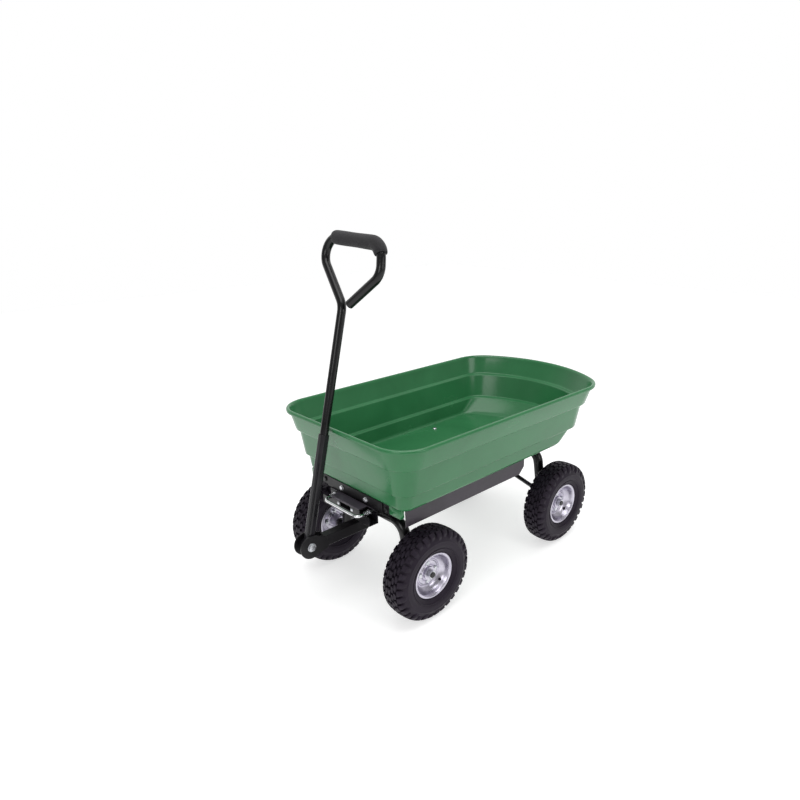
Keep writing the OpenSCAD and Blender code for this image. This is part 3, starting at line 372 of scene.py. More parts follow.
# the housing's top stops short of the latch arms, and its front wall has the slot between two screws
HOUSE_X, HOUSE_FRONT, HOUSE_TOP = FRONT_X + 67, FRONT_X + 96, 295.05
top_half, house_half, cut_low, past = 61, 102, 284, 2
slot_half, slot_low, slot_high = 22, 276, HOUSE_TOP - 6
hole_y, hole_z, hole_half = 24, 271, 4
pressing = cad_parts["front_base"]
pressed = pressing.data.copy()
pressed.transform(pressing.matrix_world)
side_cuts = [block((HOUSE_X + 3, y, cut_low), (HOUSE_FRONT + past, y + house_half - top_half, HOUSE_TOP + past))
             for y in (-house_half, top_half)]
front_slot = block((HOUSE_FRONT - 5, -slot_half, slot_low), (HOUSE_FRONT + past, slot_half, slot_high))
# thin skins make the top plate and close the CAD's two screw holes, because the screws sit higher here
top_skin = block((HOUSE_X + 4, 1 - top_half, HOUSE_TOP - 2.9), (HOUSE_FRONT - 1, top_half - 1, HOUSE_TOP + 0.6))
hole_skins = [block((HOUSE_FRONT - 3.4, y - hole_half, hole_z - hole_half),
                    (HOUSE_FRONT + 0.1, y + hole_half, hole_z + hole_half)) for y in (-hole_y, hole_y)]
housing = bmesh.new()
housing.from_mesh(cut_away(pressed, side_cuts + [front_slot]))
housing.from_mesh(solid_mesh("housing_skins", [top_skin] + hole_skins, dark_coat))
housing_mesh = bpy.data.meshes.new("latch_housing")
housing.to_mesh(housing_mesh)
housing.free()
housing_mesh.materials.clear()
housing_mesh.materials.append(dark_coat)
housing_mesh.materials.append(painted_lit_top_coat)
# faces on the top plate take the lighter grey, painted light in place of the front light on them
for face in housing_mesh.polygons:
    top_face_painted_lit = face.center.z > (HOUSE_TOP - 3) * MM and abs(face.center.y) < top_half * MM
    face.material_index = int(top_face_painted_lit)
add_piece("latch_housing", housing_mesh, "chassis", "charcoal_paint", "front_base", angle=30)


def zinc_plate(name, low, high, rough):
    """Bright zinc plate: a soft silver metal whose crystals and handling give cloudy patches."""
    made, tree, where = start_material(name)
    cloud = noise(tree, where, 45, 4.0, {"Roughness": 0.5})
    tone = two_tones(tree, cloud, low, high)
    shine = spread(tree, cloud, rough, rough + 0.1)
    grain = noise(tree, where, 1.6, 2.0)
    edge = add_node(tree, "ShaderNodeBevel", {"samples": 4}, {"Radius": 0.5 * MM})
    bump = bumped(tree, grain, 0.04, 0.1, edge)
    close_material(tree, {
        "Base Color": (tone, "Color"), "Roughness": (shine, "Result"), "Normal": (bump, "Normal"),
        "Metallic": 1.0})
    return made


zinc = zinc_plate("zinc_plated_steel", "b9bcc2", "d9dade", 0.22)
coat_nodes(zinc, "king_pin", "king_nut", "hinge_bolts", "hinge_nuts", "bracket_screws")

# Front axle: a second bent tube arch that turns under the swivel base, with the box tongue welded
# to its front; the two cheeks at the tongue's end hold the handle's pivot bolt.
coat_nodes(black_coat, "front_arch")
satin_coat = powder_coat("powder_coated_steel_satin", "050307", "0a070c", 0.4)
PIVOT = Vector((FRONT_X + 218.5, 0, 216.5))


def lathe(profile, segments):
    """Vertices and faces of a closed profile (radius, height) in mm turned about Z."""
    points, faces, n = [], [], len(profile)
    for k in range(segments):
        a = math.tau * k / segments
        points += [Vector((r * math.cos(a), r * math.sin(a), z)) * MM for r, z in profile]
    for k in range(segments):
        for i in range(n):
            j, m = (i + 1) % n, (k + 1) % segments
            faces.append((k * n + i, m * n + i, m * n + j, k * n + j))
    return points, faces


def soft_block(low, high, r):
    """A box in mm with its upright edges and rims eased by r."""
    (x0, y0, z0), (x1, y1, z1) = low, high
    points = []
    for z, cut in ((z0, r), (z0 + r, 0), (z1 - r, 0), (z1, r)):
        a, b, c, d = x0 + cut, x1 - cut, y0 + cut, y1 - cut
        ring = [(a + r, c), (b - r, c), (b, c + r), (b, d - r), (b - r, d), (a + r, d), (a, d - r), (a, c + r)]
        points += [Vector((x, y, z)) * MM for x, y in ring]
    return points, skin_rows(4, 8)


CHEEK_IN, CHEEK_OUT = 13, 16.5
cheek_r, cheek_sweep, cheek_steps = 31.5, math.radians(112), 48
cheek_back, cheek_low, cheek_high = FRONT_X + 170, 197, 230


def clevis_cheek(y0, y1):
    """One flat cheek between two places across: round about the pivot, squared off at its back end."""
    outline = [(cheek_back, cheek_low)]
    for k in range(cheek_steps + 1):
        a = cheek_sweep * (2 * k / cheek_steps - 1)
        outline.append((PIVOT.x + cheek_r * math.cos(a), PIVOT.z + cheek_r * math.sin(a)))
    outline.append((cheek_back, cheek_high))
    return [Vector((x, y, z)) * MM for y in (y0, y1) for x, z in outline], skin_rows(2, len(outline))


# the pad lies on the arch round the king pin, and the neck brings the beam up to it
pad_in, pad_out, pad_low, pad_high = 8.4, 32, 257, 260
beam_half, beam_low, beam_high, beam_ease = 13.2, 199, 229.5, 1.2
pad_points, pad_faces = lathe([(pad_in, pad_low), (pad_out, pad_low), (pad_out, pad_high), (pad_in, pad_high)], 64)
tongue_parts = [
    ([p + Vector((FRONT_X, 0, 0)) * MM for p in pad_points], pad_faces),
    soft_block((FRONT_X + 14.8, -beam_half, beam_low), (FRONT_X + 36, beam_half, pad_low + 1), beam_ease),
    soft_block((FRONT_X + 15, -beam_half, beam_low), (cheek_back + 3, beam_half, beam_high), beam_ease),
    clevis_cheek(CHEEK_IN, CHEEK_OUT), clevis_cheek(-CHEEK_OUT, -CHEEK_IN)]
tongue_mesh = solid_mesh("welded_tongue", tongue_parts, satin_coat)
add_piece("welded_tongue", tongue_mesh, "front_axle", "black_paint", "tongue", angle=30)
front_leg_y = 138
front_welds = weld(spindle_loops(FRONT_X, front_leg_y), black_coat)
add_piece("front_welds", front_welds, "front_axle", "black_paint")

# Wheels: ten-inch air tyres on two-piece pressed rims that are bolted together round a hub tube.
# The rims are bright zinc plate, the tyres black rubber with a block tread, and each has a tube inside.
HALF_TRACK, WHEEL_TURN = 207, 225
WHEELS = {"fl": (FRONT_X, 1), "fr": (FRONT_X, -1), "rl": (REAR_X, 1), "rr": (REAR_X, -1)}


def to_wheel(side, x):
    """From a wheel's own frame, axis on +Z and outer side up, to its place on the cart."""
    lay = Matrix.Rotation(math.radians(-90 * side), 4, "X")
    turn = Matrix.Rotation(math.radians(-WHEEL_TURN * side), 4, "Z")
    return Matrix.Translation(Vector((x, side * HALF_TRACK, AXLE_Z)) * MM) @ lay @ turn


def smooth_profile(points, rounds, steps=4):
    """A closed profile whose corners are rounded by their own radius in mm."""
    out, n = [], len(points)
    for i in range(n):
        p, q, s = (Vector(points[i - 1]), Vector(points[i]), Vector(points[(i + 1) % n]))
        a, b = (p - q), (s - q)
        cut = min(rounds[i], 0.45 * a.length, 0.45 * b.length)
        if cut <= 0:
            out.append(tuple(q))
            continue
        first, last = q + a.normalized() * cut, q + b.normalized() * cut
        for k in range(steps + 1):
            t = k / steps
            out.append(tuple(first * (1 - t) ** 2 + q * 2 * t * (1 - t) + last * t ** 2))
    return out


rim_zinc = zinc_plate("zinc_plated_rim", "b6b2c0", "d0ccd8", 0.25)
coat_nodes(rim_zinc, *[f"{k}_hub" for k in WHEELS])
coat_nodes(zinc, "front_axle_nuts", "rear_axle_nuts")
# dished pressing: hub seat, bolt circle, a smooth bowl, bead seat and a narrow rolled flange
rim_line = [(18, 0.2), (22, 0.2), (34, 0.2), (40, 0.4), (48, 5), (54, 13), (57.6, 24), (59, 26), (63, 26),
            (65, 27.2), (65, 29), (62.6, 30), (59, 28.8), (56.4, 25), (52.4, 14), (47, 7.4), (42.4, 3.6),
            (40, 3), (38, 5.4), (35.6, 5.6), (33.4, 2.6), (31, 2.4), (24, 2.4), (21, 6), (18, 6)]
rim_rounds = [0, 0, 2, 3, 3, 3, 2, 1, 1, 0.6, 0.6, 1, 1.6, 3, 4, 3, 1.2, 1, 1, 1, 1, 1, 2, 1.5, 0.5]
rim_profile = smooth_profile(rim_line, rim_rounds, 3)


def rim_half(side):
    """One half of a rim: the outer half with side 1, the inner half with side -1."""
    return lathe([(r, z * side) for r, z in rim_profile], 96)


def bolt_tree():
    """Sets one bolt at every point, turned by the point's own angles."""
    tree, given, result = start_tree("bolt_group", [
        ("Bolt", "NodeSocketObject"), ("Finish", "NodeSocketMaterial")])
    shape = add_node(tree, "GeometryNodeObjectInfo", inputs={"Object": (given, "Bolt")})
    turn = add_node(tree, "GeometryNodeInputNamedAttribute", {"data_type": "FLOAT_VECTOR"}, {
        "Name": "turn"})
    lay = add_node(tree, "FunctionNodeEulerToRotation", inputs={"Euler": (turn, "Attribute")})
    laid = add_node(tree, "GeometryNodeInstanceOnPoints", inputs={
        "Points": (given, "Geometry"), "Instance": (shape, "Geometry"), "Rotation": (lay, "Rotation")})
    return close_tree(tree, given, result, laid, "Instances")


bolt_group = bolt_tree()


def bolts_at(spots, bolt, finish):
    """The mesh of a bolt repeated at spots, each a place in metres and an Euler turn in radians."""
    base = plain_object("bolt_spots", [s[0] for s in spots])
    turn = base.data.attributes.new("turn", "FLOAT_VECTOR", "POINT")
    for item, spot in zip(turn.data, spots):
        item.vector = spot[1]
    return run_tree(bolt_group, base, {"Bolt": bolt, "Finish": finish})


def prism(sides, rings):
    """Vertices and faces of a closed stack of rings, each a (radius, height) in mm."""
    turns = [math.tau * i / sides for i in range(sides)]
    points = [Vector((r * math.cos(a), r * math.sin(a), z)) * MM for r, z in rings for a in turns]
    return points, skin_rows(len(rings), sides)


def hex_bolt(name, head_r, head_h, washer_r, shank_r, shank, nut_at=None):
    """A hex bolt along +Z with its seat at 0: chamfered head, washer face, shank and, if asked, a nut."""
    parts = [prism(6, [(head_r, 0.8), (head_r, head_h - 1.2), (0.86 * head_r, head_h - 0.3),
                       (0.5 * head_r, head_h)]),
             prism(24, [(washer_r - 0.4, 0), (washer_r, 0.3), (washer_r, 0.9), (washer_r - 0.5, 1.2)]),
             prism(16, [(shank_r, -shank), (shank_r, 0.5)])]
    if nut_at is not None:
        parts.append(prism(6, [(head_r - 1, -nut_at - 6), (head_r, -nut_at - 5), (head_r, -nut_at)]))
    return stand(name, solid_mesh(name, parts, zinc))


rim_bolt = hex_bolt("rim_bolt_shape", 7.4, 4.4, 7.8, 4, 14, nut_at=4)
rim_bolts, bolt_circle, bolt_seat = 4, 27, 2.4
spots = []
for i in range(rim_bolts):
    a = math.tau * (i + 0.5) / rim_bolts
    spots.append((Vector((bolt_circle * math.cos(a), bolt_circle * math.sin(a), bolt_seat)) * MM, (0, 0, a)))
for key, (x, side) in WHEELS.items():
    place = to_wheel(side, x)
    mesh = solid_mesh(f"{key}_rim", [rim_half(1), rim_half(-1)], rim_zinc)
    mesh.transform(place)
    add_piece(f"{key}_rim_pressing", mesh, f"wheel_{key}", "zinc_steel", f"{key}_rim_outer", f"{key}_rim_inner")
    mesh = bolts_at(spots, rim_bolt, zinc)
    mesh.transform(place)
    add_piece(f"{key}_rim_bolt_set", mesh, f"wheel_{key}", "zinc_steel", f"{key}_rim_bolts", angle=25)
bpy.data.objects.remove(rim_bolt)


def tyre_rubber(name, low, high, rough):
    """Moulded natural rubber: dark, matte, a little dusty, with a fine cast grain."""
    made, tree, where = start_material(name)
    dust = noise(tree, where, 25, 6.0, {"Roughness": 0.65})
    tone = two_tones(tree, dust, low, high)
    shine = spread(tree, dust, rough, rough + 0.15)
    bump = bumped(tree, noise(tree, where, 1.8, 3.0), 0.25, 0.3)
    close_material(tree, {
        "Base Color": (tone, "Color"), "Roughness": (shine, "Result"), "Normal": (bump, "Normal"),
        "IOR": 1.5, "Specular IOR Level": 0.24, "Specular Tint": linear("f0e2f8")})
    return made


rubber = tyre_rubber("moulded_tyre_rubber", "17121a", "221d26", 0.46)
# carcass: crown, shoulder, two raised rings on the sidewall, bead, and the hollow for the inner tube
side_line = [(124.4, 0), (124, 12), (122, 22), (117.4, 28.4), (111.4, 33.2), (106, 36.2), (101.6, 38),
             (100.4, 38.8), (98.6, 39.2), (97.4, 38.8), (90, 39), (84, 38), (80.6, 36.2), (79.4, 38),
             (77.4, 37.6), (76.2, 34.6), (71, 31.6), (67.4, 29.2), (66.4, 28.2), (65.8, 26), (60, 25.8),
             (60, 13), (62, 13), (70, 29.5), (112, 29.5), (120, 20.5)]
carcass = smooth_profile(side_line + [(r, -z) for r, z in reversed(side_line[1:])],
                         [0 if i == 0 else 1.2 for i in range(2 * len(side_line) - 1)], 2)


def crown(z, high, bow, fall, shoulder=24):
    """A radius of the tread at a height across it: bowed, and falling away past the shoulder."""
    z = abs(z)
    return high - bow * z * z - (0.0 if z < shoulder else fall * (z - shoulder) ** 2)


def lug_object(name, stations):
    """A tread block on +X, from stations (height across, start, end) in mm that run over the crown."""
    tread_r, flare, ease, ease_around = 128, 1.12, 0.7, 0.8
    points = []
    for z, start, end in stations:
        # the foot is just under the carcass's skin
        foot, top = crown(z, 121.6, 0.0026, 0.085), crown(z, 129.8, 0.0034, 0.066)
        for radius, around in ((foot, flare * start), (top - ease, start), (top, start + ease_around),
                               (top, end - ease_around), (top - ease, end), (foot, flare * end)):
            a = around / tread_r
            points.append(Vector((radius * math.cos(a), radius * math.sin(a), z)) * MM)
    return stand(name, solid_mesh(name, [(points, skin_rows(len(stations), 6))], rubber))


def tread_tree():
    """Repeats a tread block round the tyre's axis."""
    tree, given, result = start_tree("tread_ring", [
        ("Block", "NodeSocketObject"), ("Count", "NodeSocketInt"), ("Start", "NodeSocketFloat"),
        ("Finish", "NodeSocketMaterial")])
    shape = add_node(tree, "GeometryNodeObjectInfo", inputs={"Object": (given, "Block")})
    spots = add_node(tree, "GeometryNodePoints", inputs={"Count": (given, "Count")})
    number = add_node(tree, "GeometryNodeInputIndex")
    placed = add_node(tree, "ShaderNodeMath", {"operation": "ADD"}, {
        0: (number, "Index"), 1: (given, "Start")})
    part = add_node(tree, "ShaderNodeMath", {"operation": "DIVIDE"}, {
        0: (placed, "Value"), 1: (given, "Count")})
    angle = add_node(tree, "ShaderNodeMath", {"operation": "MULTIPLY"}, {0: (part, "Value"), 1: math.tau})
    turn = add_node(tree, "ShaderNodeCombineXYZ", inputs={"Z": (angle, "Value")})
    lay = add_node(tree, "FunctionNodeEulerToRotation", inputs={"Euler": (turn, "Vector")})
    laid = add_node(tree, "GeometryNodeInstanceOnPoints", inputs={
        "Points": (spots, "Points"), "Instance": (shape, "Geometry"), "Rotation": (lay, "Rotation")})
    return close_tree(tree, given, result, laid, "Instances")


tread_ring = tread_tree()
long_lug = [(25.5, -8.2, 8.6), (29, -8.4, 8.4), (32.5, -8, 8), (35.2, -6.6, 6.8), (37, -4.4, 4.8)]
short_lug = [(25.5, -8.2, 8.6), (29, -8.4, 8.2), (32, -7.2, 7.2), (34.2, -5, 5.4)]
outer_knob = [(15.4, -9.4, 5.4), (19.2, -10, 9), (23.6, -4.8, 7)]
inner_knob = [(6.9, -9.6, 4.2), (11.2, -10.4, 9.6), (14.1, -5.6, 6)]
centre_knob = [(-5, -9.6, 5.6), (0.4, -5, 10.2), (5.4, -9.6, 5.6)]
# how many of each block go round, and where the first one starts as a share of their pitch
ROUND = 34
tread = [("centre_knob", centre_knob, ROUND, 0.2)]
for name, stations, count, start in (
        ("long_lug", long_lug, ROUND // 2, 0.0), ("short_lug", short_lug, ROUND // 2, 0.5),
        ("outer_knob", outer_knob, ROUND, 0.5), ("inner_knob", inner_knob, ROUND, 0.8)):
    inner = [(-z, a, b) for z, a, b in stations]
    tread += [(name + "_out", stations, count, start), (name + "_in", inner, count, start + count / (2 * ROUND))]
blocks = bmesh.new()
for name, stations, count, start in tread:
    lug = lug_object(name, stations)
    base = plain_object("tread_base", [(0, 0, 0)])
    blocks.from_mesh(run_tree(tread_ring, base, {"Block": lug, "Count": count, "Start": start, "Finish": rubber}))
    bpy.data.objects.remove(lug)
blocks.from_mesh(solid_mesh("carcass", [lathe(carcass, 144)], rubber))
tyre_mesh = bpy.data.meshes.new("tyre")
blocks.to_mesh(tyre_mesh)
blocks.free()
tyre_mesh.materials.append(rubber)
for key, (x, side) in WHEELS.items():
    mesh = tyre_mesh.copy()
    mesh.transform(to_wheel(side, x))
    add_piece(f"{key}_block_tyre", mesh, f"wheel_{key}", "tyre_rubber", f"{key}_tyre", angle=32)
tube_mid, tube_r, tube_sides = 90, 26, 20
turns = [math.tau * k / tube_sides for k in range(tube_sides)]
tube_ring = [(tube_mid + tube_r * math.cos(a), tube_r * math.sin(a)) for a in turns]
valve_points, valve_faces = prism(16, [(4.6, 0), (4.6, 17), (3.8, 18), (3.8, 22), (2.8, 23)])
# the valve leans out of the tube and through the rim's bowl
valve_lay = Matrix.Translation(Vector((66, 0, 3)) * MM) @ Matrix.Rotation(math.radians(-60), 4, "Y")
stem = ([valve_lay @ p for p in valve_points], valve_faces)
for key, (x, side) in WHEELS.items():
    mesh = solid_mesh(f"{key}_tube", [lathe(tube_ring, 48), stem], rubber)
    mesh.transform(to_wheel(side, x))
    add_piece(f"{key}_tube_and_valve", mesh, f"wheel_{key}", "tube_rubber", f"{key}_inner_tube")
black_nut = powder_coat("black_oxide_steel", "0e0d0f", "1a191c", 0.3)
coat_nodes(black_nut, "front_spindles", "rear_spindles")

# Tray frame: folded charcoal rails along both sides, a black bearer and cover plate across the front.
# Zinc plated bolts hold the plate and black ones the bearer's ends; round heads show on the tray's floor.
charcoal_coat = powder_coat("powder_coated_steel_charcoal", "2f2a32", "3a343d", 0.3)
coat_nodes(charcoal_coat, "left_rail", "right_rail")
coat_nodes(satin_coat, "front_bearer", "front_plate")
coat_nodes(zinc, "plate_nuts", "floor_nuts")
plate_bolt = hex_bolt("plate_bolt_shape", 6.8, 5, 7.4, 4, 14)
plate_bolt_y, end_bolt_y, plate_bolt_z, floor_top = 51, 131, 309.6, 327.5
FORWARD = (0, math.radians(90), 0)
spots = [(Vector((FRONT_X + 66, y, plate_bolt_z)) * MM, FORWARD) for y in (-plate_bolt_y, plate_bolt_y)]
add_piece("plate_bolt_set", bolts_at(spots, plate_bolt, zinc), "tray", "zinc_steel", "plate_bolts", angle=25)
spots = [(Vector((FRONT_X + 63, y, plate_bolt_z)) * MM, FORWARD) for y in (-end_bolt_y, end_bolt_y)]
add_piece("end_bolt_set", bolts_at(spots, plate_bolt, black_nut), "tray", "black_steel", angle=25)
bpy.data.objects.remove(plate_bolt)
dome = prism(24, [(4, -15), (4, 0), (7.4, 0), (7.5, 0.6), (7.1, 1.6), (5.9, 2.7), (3.9, 3.5), (1.6, 3.95)])
round_bolt = stand("round_bolt_shape", solid_mesh("round_bolt_shape", [dome], zinc))
spots = [(Vector((x, side * y, floor_top)) * MM, (0, 0, 0)) for x, y in
         ((REAR_X + 177, 164), (FRONT_X - 10, 164), (FRONT_X + 44, 92)) for side in (-1, 1)]
add_piece("floor_bolt_set", bolts_at(spots, round_bolt, zinc), "tray", "zinc_steel", "floor_bolts")
bpy.data.objects.remove(round_bolt)

# Tray: one injection moulded polypropylene tub with three stepped tiers, a bowed rear end,
# a lip rolled over all round, three ribs on the floor and two feet at the front corners.
TRAY_HALF, TRAY_FRONT, TRAY_BACK = 257, FRONT_X + 114, REAR_X - 196
FRONT_SLOPE, BACK_SLOPE = 0.88, 1.4
# below the lower ledge the rear wall slants forward by this much at the floor
SLANT, SLANT_FROM, SLANT_DEEP = 48, 370, 44
FRONT_CORNER, REAR_CORNER, BOW_R = 80, 108, 385


def tray_outline(inset, z):
    """The tray's plan outline at an inset from the crest in mm, as points at height z."""
    w = TRAY_HALF - inset
    front = TRAY_FRONT - inset * (FRONT_SLOPE if inset > 0 else 1)
    back = TRAY_BACK + inset * (BACK_SLOPE if inset > 0 else 1)
    back += SLANT * min(max((SLANT_FROM - z) / SLANT_DEEP, 0), 1)
    front_r, rear_r, bow_r = max(FRONT_CORNER - inset, 12), max(REAR_CORNER - inset, 24), BOW_R - inset
    bow_x = back + bow_r
    rear_x = bow_x - math.sqrt((bow_r - rear_r) ** 2 - (w - rear_r) ** 2)
    lean = math.atan2(w - rear_r, rear_x - bow_x)
    end_steps, side_steps, arc_steps = 8, 12, 18
    half = [(front, (w - front_r) * k / end_steps) for k in range(end_steps)]
    for k in range(arc_steps + 1):
        a = math.pi / 2 * k / arc_steps
        half.append((front - front_r + front_r * math.cos(a), w - front_r + front_r * math.sin(a)))
    for k in range(1, side_steps):
        t = k / side_steps
        half.append(((front - front_r) * (1 - t) + rear_x * t, w))
    for k in range(arc_steps + 1):
        a = math.pi / 2 + (lean - math.pi / 2) * k / arc_steps
        half.append((rear_x + rear_r * math.cos(a), w - rear_r + rear_r * math.sin(a)))
    for k in range(1, arc_steps + 1):
        a = lean + (math.pi - lean) * k / arc_steps
        half.append((bow_x + bow_r * math.cos(a), bow_r * math.sin(a)))
    half[-1] = (half[-1][0], 0.0)
    ring = half + [(x, -y) for x, y in reversed(half[1:-1])]
    return [Vector((x, y, z)) * MM for x, y in ring]


# the wall's section as (inset, height): up the inside, over the rolled lip and down the outside
tray_line = [(68, 327.5), (58, 327.8), (53.8, 334), (49.5, 372.5), (38.4, 375.5), (28.5, 447.5), (18.5, 450.5),
             (6.5, 491), (3.4, 503), (0.6, 507.4), (-3.4, 508), (-6.8, 506), (-8, 502), (-7.2, 497.6), (-5, 498),
             (-4.8, 502), (-2, 503.8), (0.4, 501), (3, 491), (15, 447), (25, 444), (34.9, 372), (46, 369),
             (50, 332), (55, 325), (66, 324)]
tray_rounds = [0, 3, 4, 3, 3, 3, 3, 4, 3, 2.4, 2.4, 2.4, 2.4, 0.9, 0.9, 2, 2, 2, 4, 3, 3, 3, 3, 3, 3, 0]
rings = [tray_outline(inset, z) for inset, z in smooth_profile(tray_line, tray_rounds)]
tub = ([p for ring in rings for p in ring], skin_rows(len(rings), len(rings[0])))


def moulded_plastic(name, low, high, rough):
    """Injection moulded polypropylene or polyethylene: waxy, with a faint flow pattern and a fine mould grain."""
    made, tree, where = start_material(name)
    flow = noise(tree, where, 160, 3.0, {"Distortion": 0.6})
    tone = two_tones(tree, flow, low, high, (0.3, 0.7))
    shine = spread(tree, flow, rough, rough + 0.08)
    sag = bumped(tree, noise(tree, where, 45, 1.0), 0.1, 0.4)
    bump = bumped(tree, noise(tree, where, 2.5, 2.0), 0.06, 0.2, sag)
    close_material(tree, {
        "Base Color": (tone, "Color"), "Roughness": (shine, "Result"), "Normal": (bump, "Normal"),
        "IOR": 1.49, "Specular IOR Level": 0.4, "Coat Weight": 0.1, "Coat Roughness": 0.15})
    return made


green_plastic = moulded_plastic("moulded_polypropylene_green", "2a6a40", "317448", 0.2)
rib_half, rib_y = 3, 60
foot_half, foot_y, foot_low, foot_high = 21.5, 168.5, 303, 327
ribs = [soft_block((REAR_X + 20, y - rib_half, floor_top - 2), (REAR_X + 486, y + rib_half, floor_top + 2), 0.9)
        for y in (-rib_y, 0, rib_y)]
feet = [soft_block((FRONT_X + 54, y - foot_half, foot_low), (FRONT_X + 68, y + foot_half, foot_high), 1.5)
        for y in (-foot_y, foot_y)]
tray_mesh = solid_mesh("tray_tub", [tub] + ribs + feet, green_plastic)
add_piece("tray_tub", tray_mesh, "tray", "green_plastic", "tray", angle=50)

# Latch: a chrome plated bail whose two arms are the lock pins, pushed home by coil springs
# that sit round the arms inside the housing.


def chrome_plate(name, low, high, rough):
    """Bright chrome over nickel: mirror smooth with the faintest drawing marks of the rod."""
    made, tree, where = start_material(name)
    haze = noise(tree, where, 9, 3.0)
    tone = two_tones(tree, haze, low, high)
    shine = spread(tree, haze, rough, rough + 0.07)
    close_material(tree, {"Base Color": (tone, "Color"), "Roughness": (shine, "Result"), "Metallic": 1.0})
    return made


chrome = chrome_plate("chrome_plated_steel", "d3d4d8", "ececee", 0.07)
coat_nodes(zinc, "bail_collars")
BAIL_Y, BAIL_Z = 73, 283
bail_back, bail_nose, bail_r, bail_bend = FRONT_X + 57, FRONT_X + 112, 4, 16
bail_corners = ((bail_back, -BAIL_Y), (bail_nose, -BAIL_Y), (bail_nose, BAIL_Y), (bail_back, BAIL_Y))
bail_line = rounded_path([Vector((x, y, BAIL_Z)) * MM for x, y in bail_corners],
                         [0, bail_bend * MM, bail_bend * MM, 0])
add_piece("bail_rod", bent_rod(bail_line, bail_r * MM, chrome, 24), "latch", "chrome_steel", "bail")
housing_screw = hex_bolt("housing_screw_shape", 4.2, 2.6, 4.8, 2, 5)
screw_y, screw_z = 29, 282.5
spots = [(Vector((HOUSE_FRONT, y, screw_z)) * MM, FORWARD) for y in (-screw_y, screw_y)]
screws = bolts_at(spots, housing_screw, zinc)
add_piece("housing_screw_set", screws, "chassis", "zinc_steel", "base_screws", angle=25)
bpy.data.objects.remove(housing_screw)
coils = bmesh.new()
spring_start, spring_end, spring_turns, turn_steps = FRONT_X + 76.6, FRONT_X + 92.4, 4, 24
coil_r, wire_r = 6.6, 0.6
for y in (-BAIL_Y, BAIL_Y):
    line = []
    for k in range(spring_turns * turn_steps + 1):
        a = math.tau * k / turn_steps
        x = spring_start + (spring_end - spring_start) * k / (spring_turns * turn_steps)
        line.append(Vector((x, y + coil_r * math.cos(a), BAIL_Z + coil_r * math.sin(a))) * MM)
    coils.from_mesh(bent_rod(line, wire_r * MM, chrome, 8))
spring_mesh = bpy.data.meshes.new("bail_springs_wire")
coils.to_mesh(spring_mesh)
coils.free()
spring_mesh.materials.append(chrome)
springs = add_piece("bail_spring_wire", spring_mesh, "chassis", "chrome_steel", "bail_springs")
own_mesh(springs)

# Handle: a dark square tube on the pivot, and a black round tube that opens into a hand loop.
# The loop's top bar carries a foam sleeve, and a plastic plug closes its free end.
coat_nodes(dark_coat, "lower_handle")
coat_nodes(zinc, "pivot_nut", "joint_bolt")
HANDLE_LEAN = math.radians(15.5)


def on_handle(y, along, ahead=0.0):
    """A point by its place across the handle, along it and ahead of it, in mm."""
    x = -along * math.sin(HANDLE_LEAN) + ahead * math.cos(HANDLE_LEAN)
    z = along * math.cos(HANDLE_LEAN) + ahead * math.sin(HANDLE_LEAN)
    return (PIVOT + Vector((x, y, z))) * MM


# the loop's corners as (across, along), from the top of the square tube round to the free end
loop_corners = [(0, 221), (0, 602), (-148, 754), (107, 744), (120, 678), (27, 607)]
loop_radii = [0, 40, 38, 40, 36, 0]
loop_r = 10.5
loop_line = rounded_path([on_handle(*c) for c in loop_corners], [r * MM for r in loop_radii], 4)
loop_mesh = bent_rod(loop_line, loop_r * MM, black_coat, 36)
add_piece("upper_handle_tube", loop_mesh, "handle", "black_paint", "upper_handle")
pivot_bolt = hex_bolt("pivot_bolt_shape", 10.6, 5.4, 11.8, 7, 42)
spots = [((PIVOT + Vector((0, CHEEK_OUT, 0))) * MM, (math.radians(-90), 0, 0))]
add_piece("pivot_bolt_set", bolts_at(spots, pivot_bolt, zinc), "front_axle", "zinc_steel", "pivot_bolt", angle=25)
bpy.data.objects.remove(pivot_bolt)


def closed_foam(name, low, high):
    """Closed-cell rubber foam: very matte black, with burst cells as a pitted skin."""
    made, tree, where = start_material(name)
    tone = two_tones(tree, noise(tree, where, 12, 4.0), low, high)
    # real cells are about 0.3 mm; drawn at 1.4 mm so that they show
    cells = add_node(tree, "ShaderNodeTexVoronoi", inputs={
        "Vector": (where, "Object"), "Scale": 1 / (1.4 * MM)})
    bump = bumped(tree, cells, 0.5, 0.4, output="Distance")
    close_material(tree, {
        "Base Color": (tone, "Color"), "Normal": (bump, "Normal"), "Roughness": 0.85,
        "Sheen Weight": 0.08, "Sheen Roughness": 0.6})
    return made


foam = closed_foam("closed_cell_foam_black", "070509", "0e0b12")


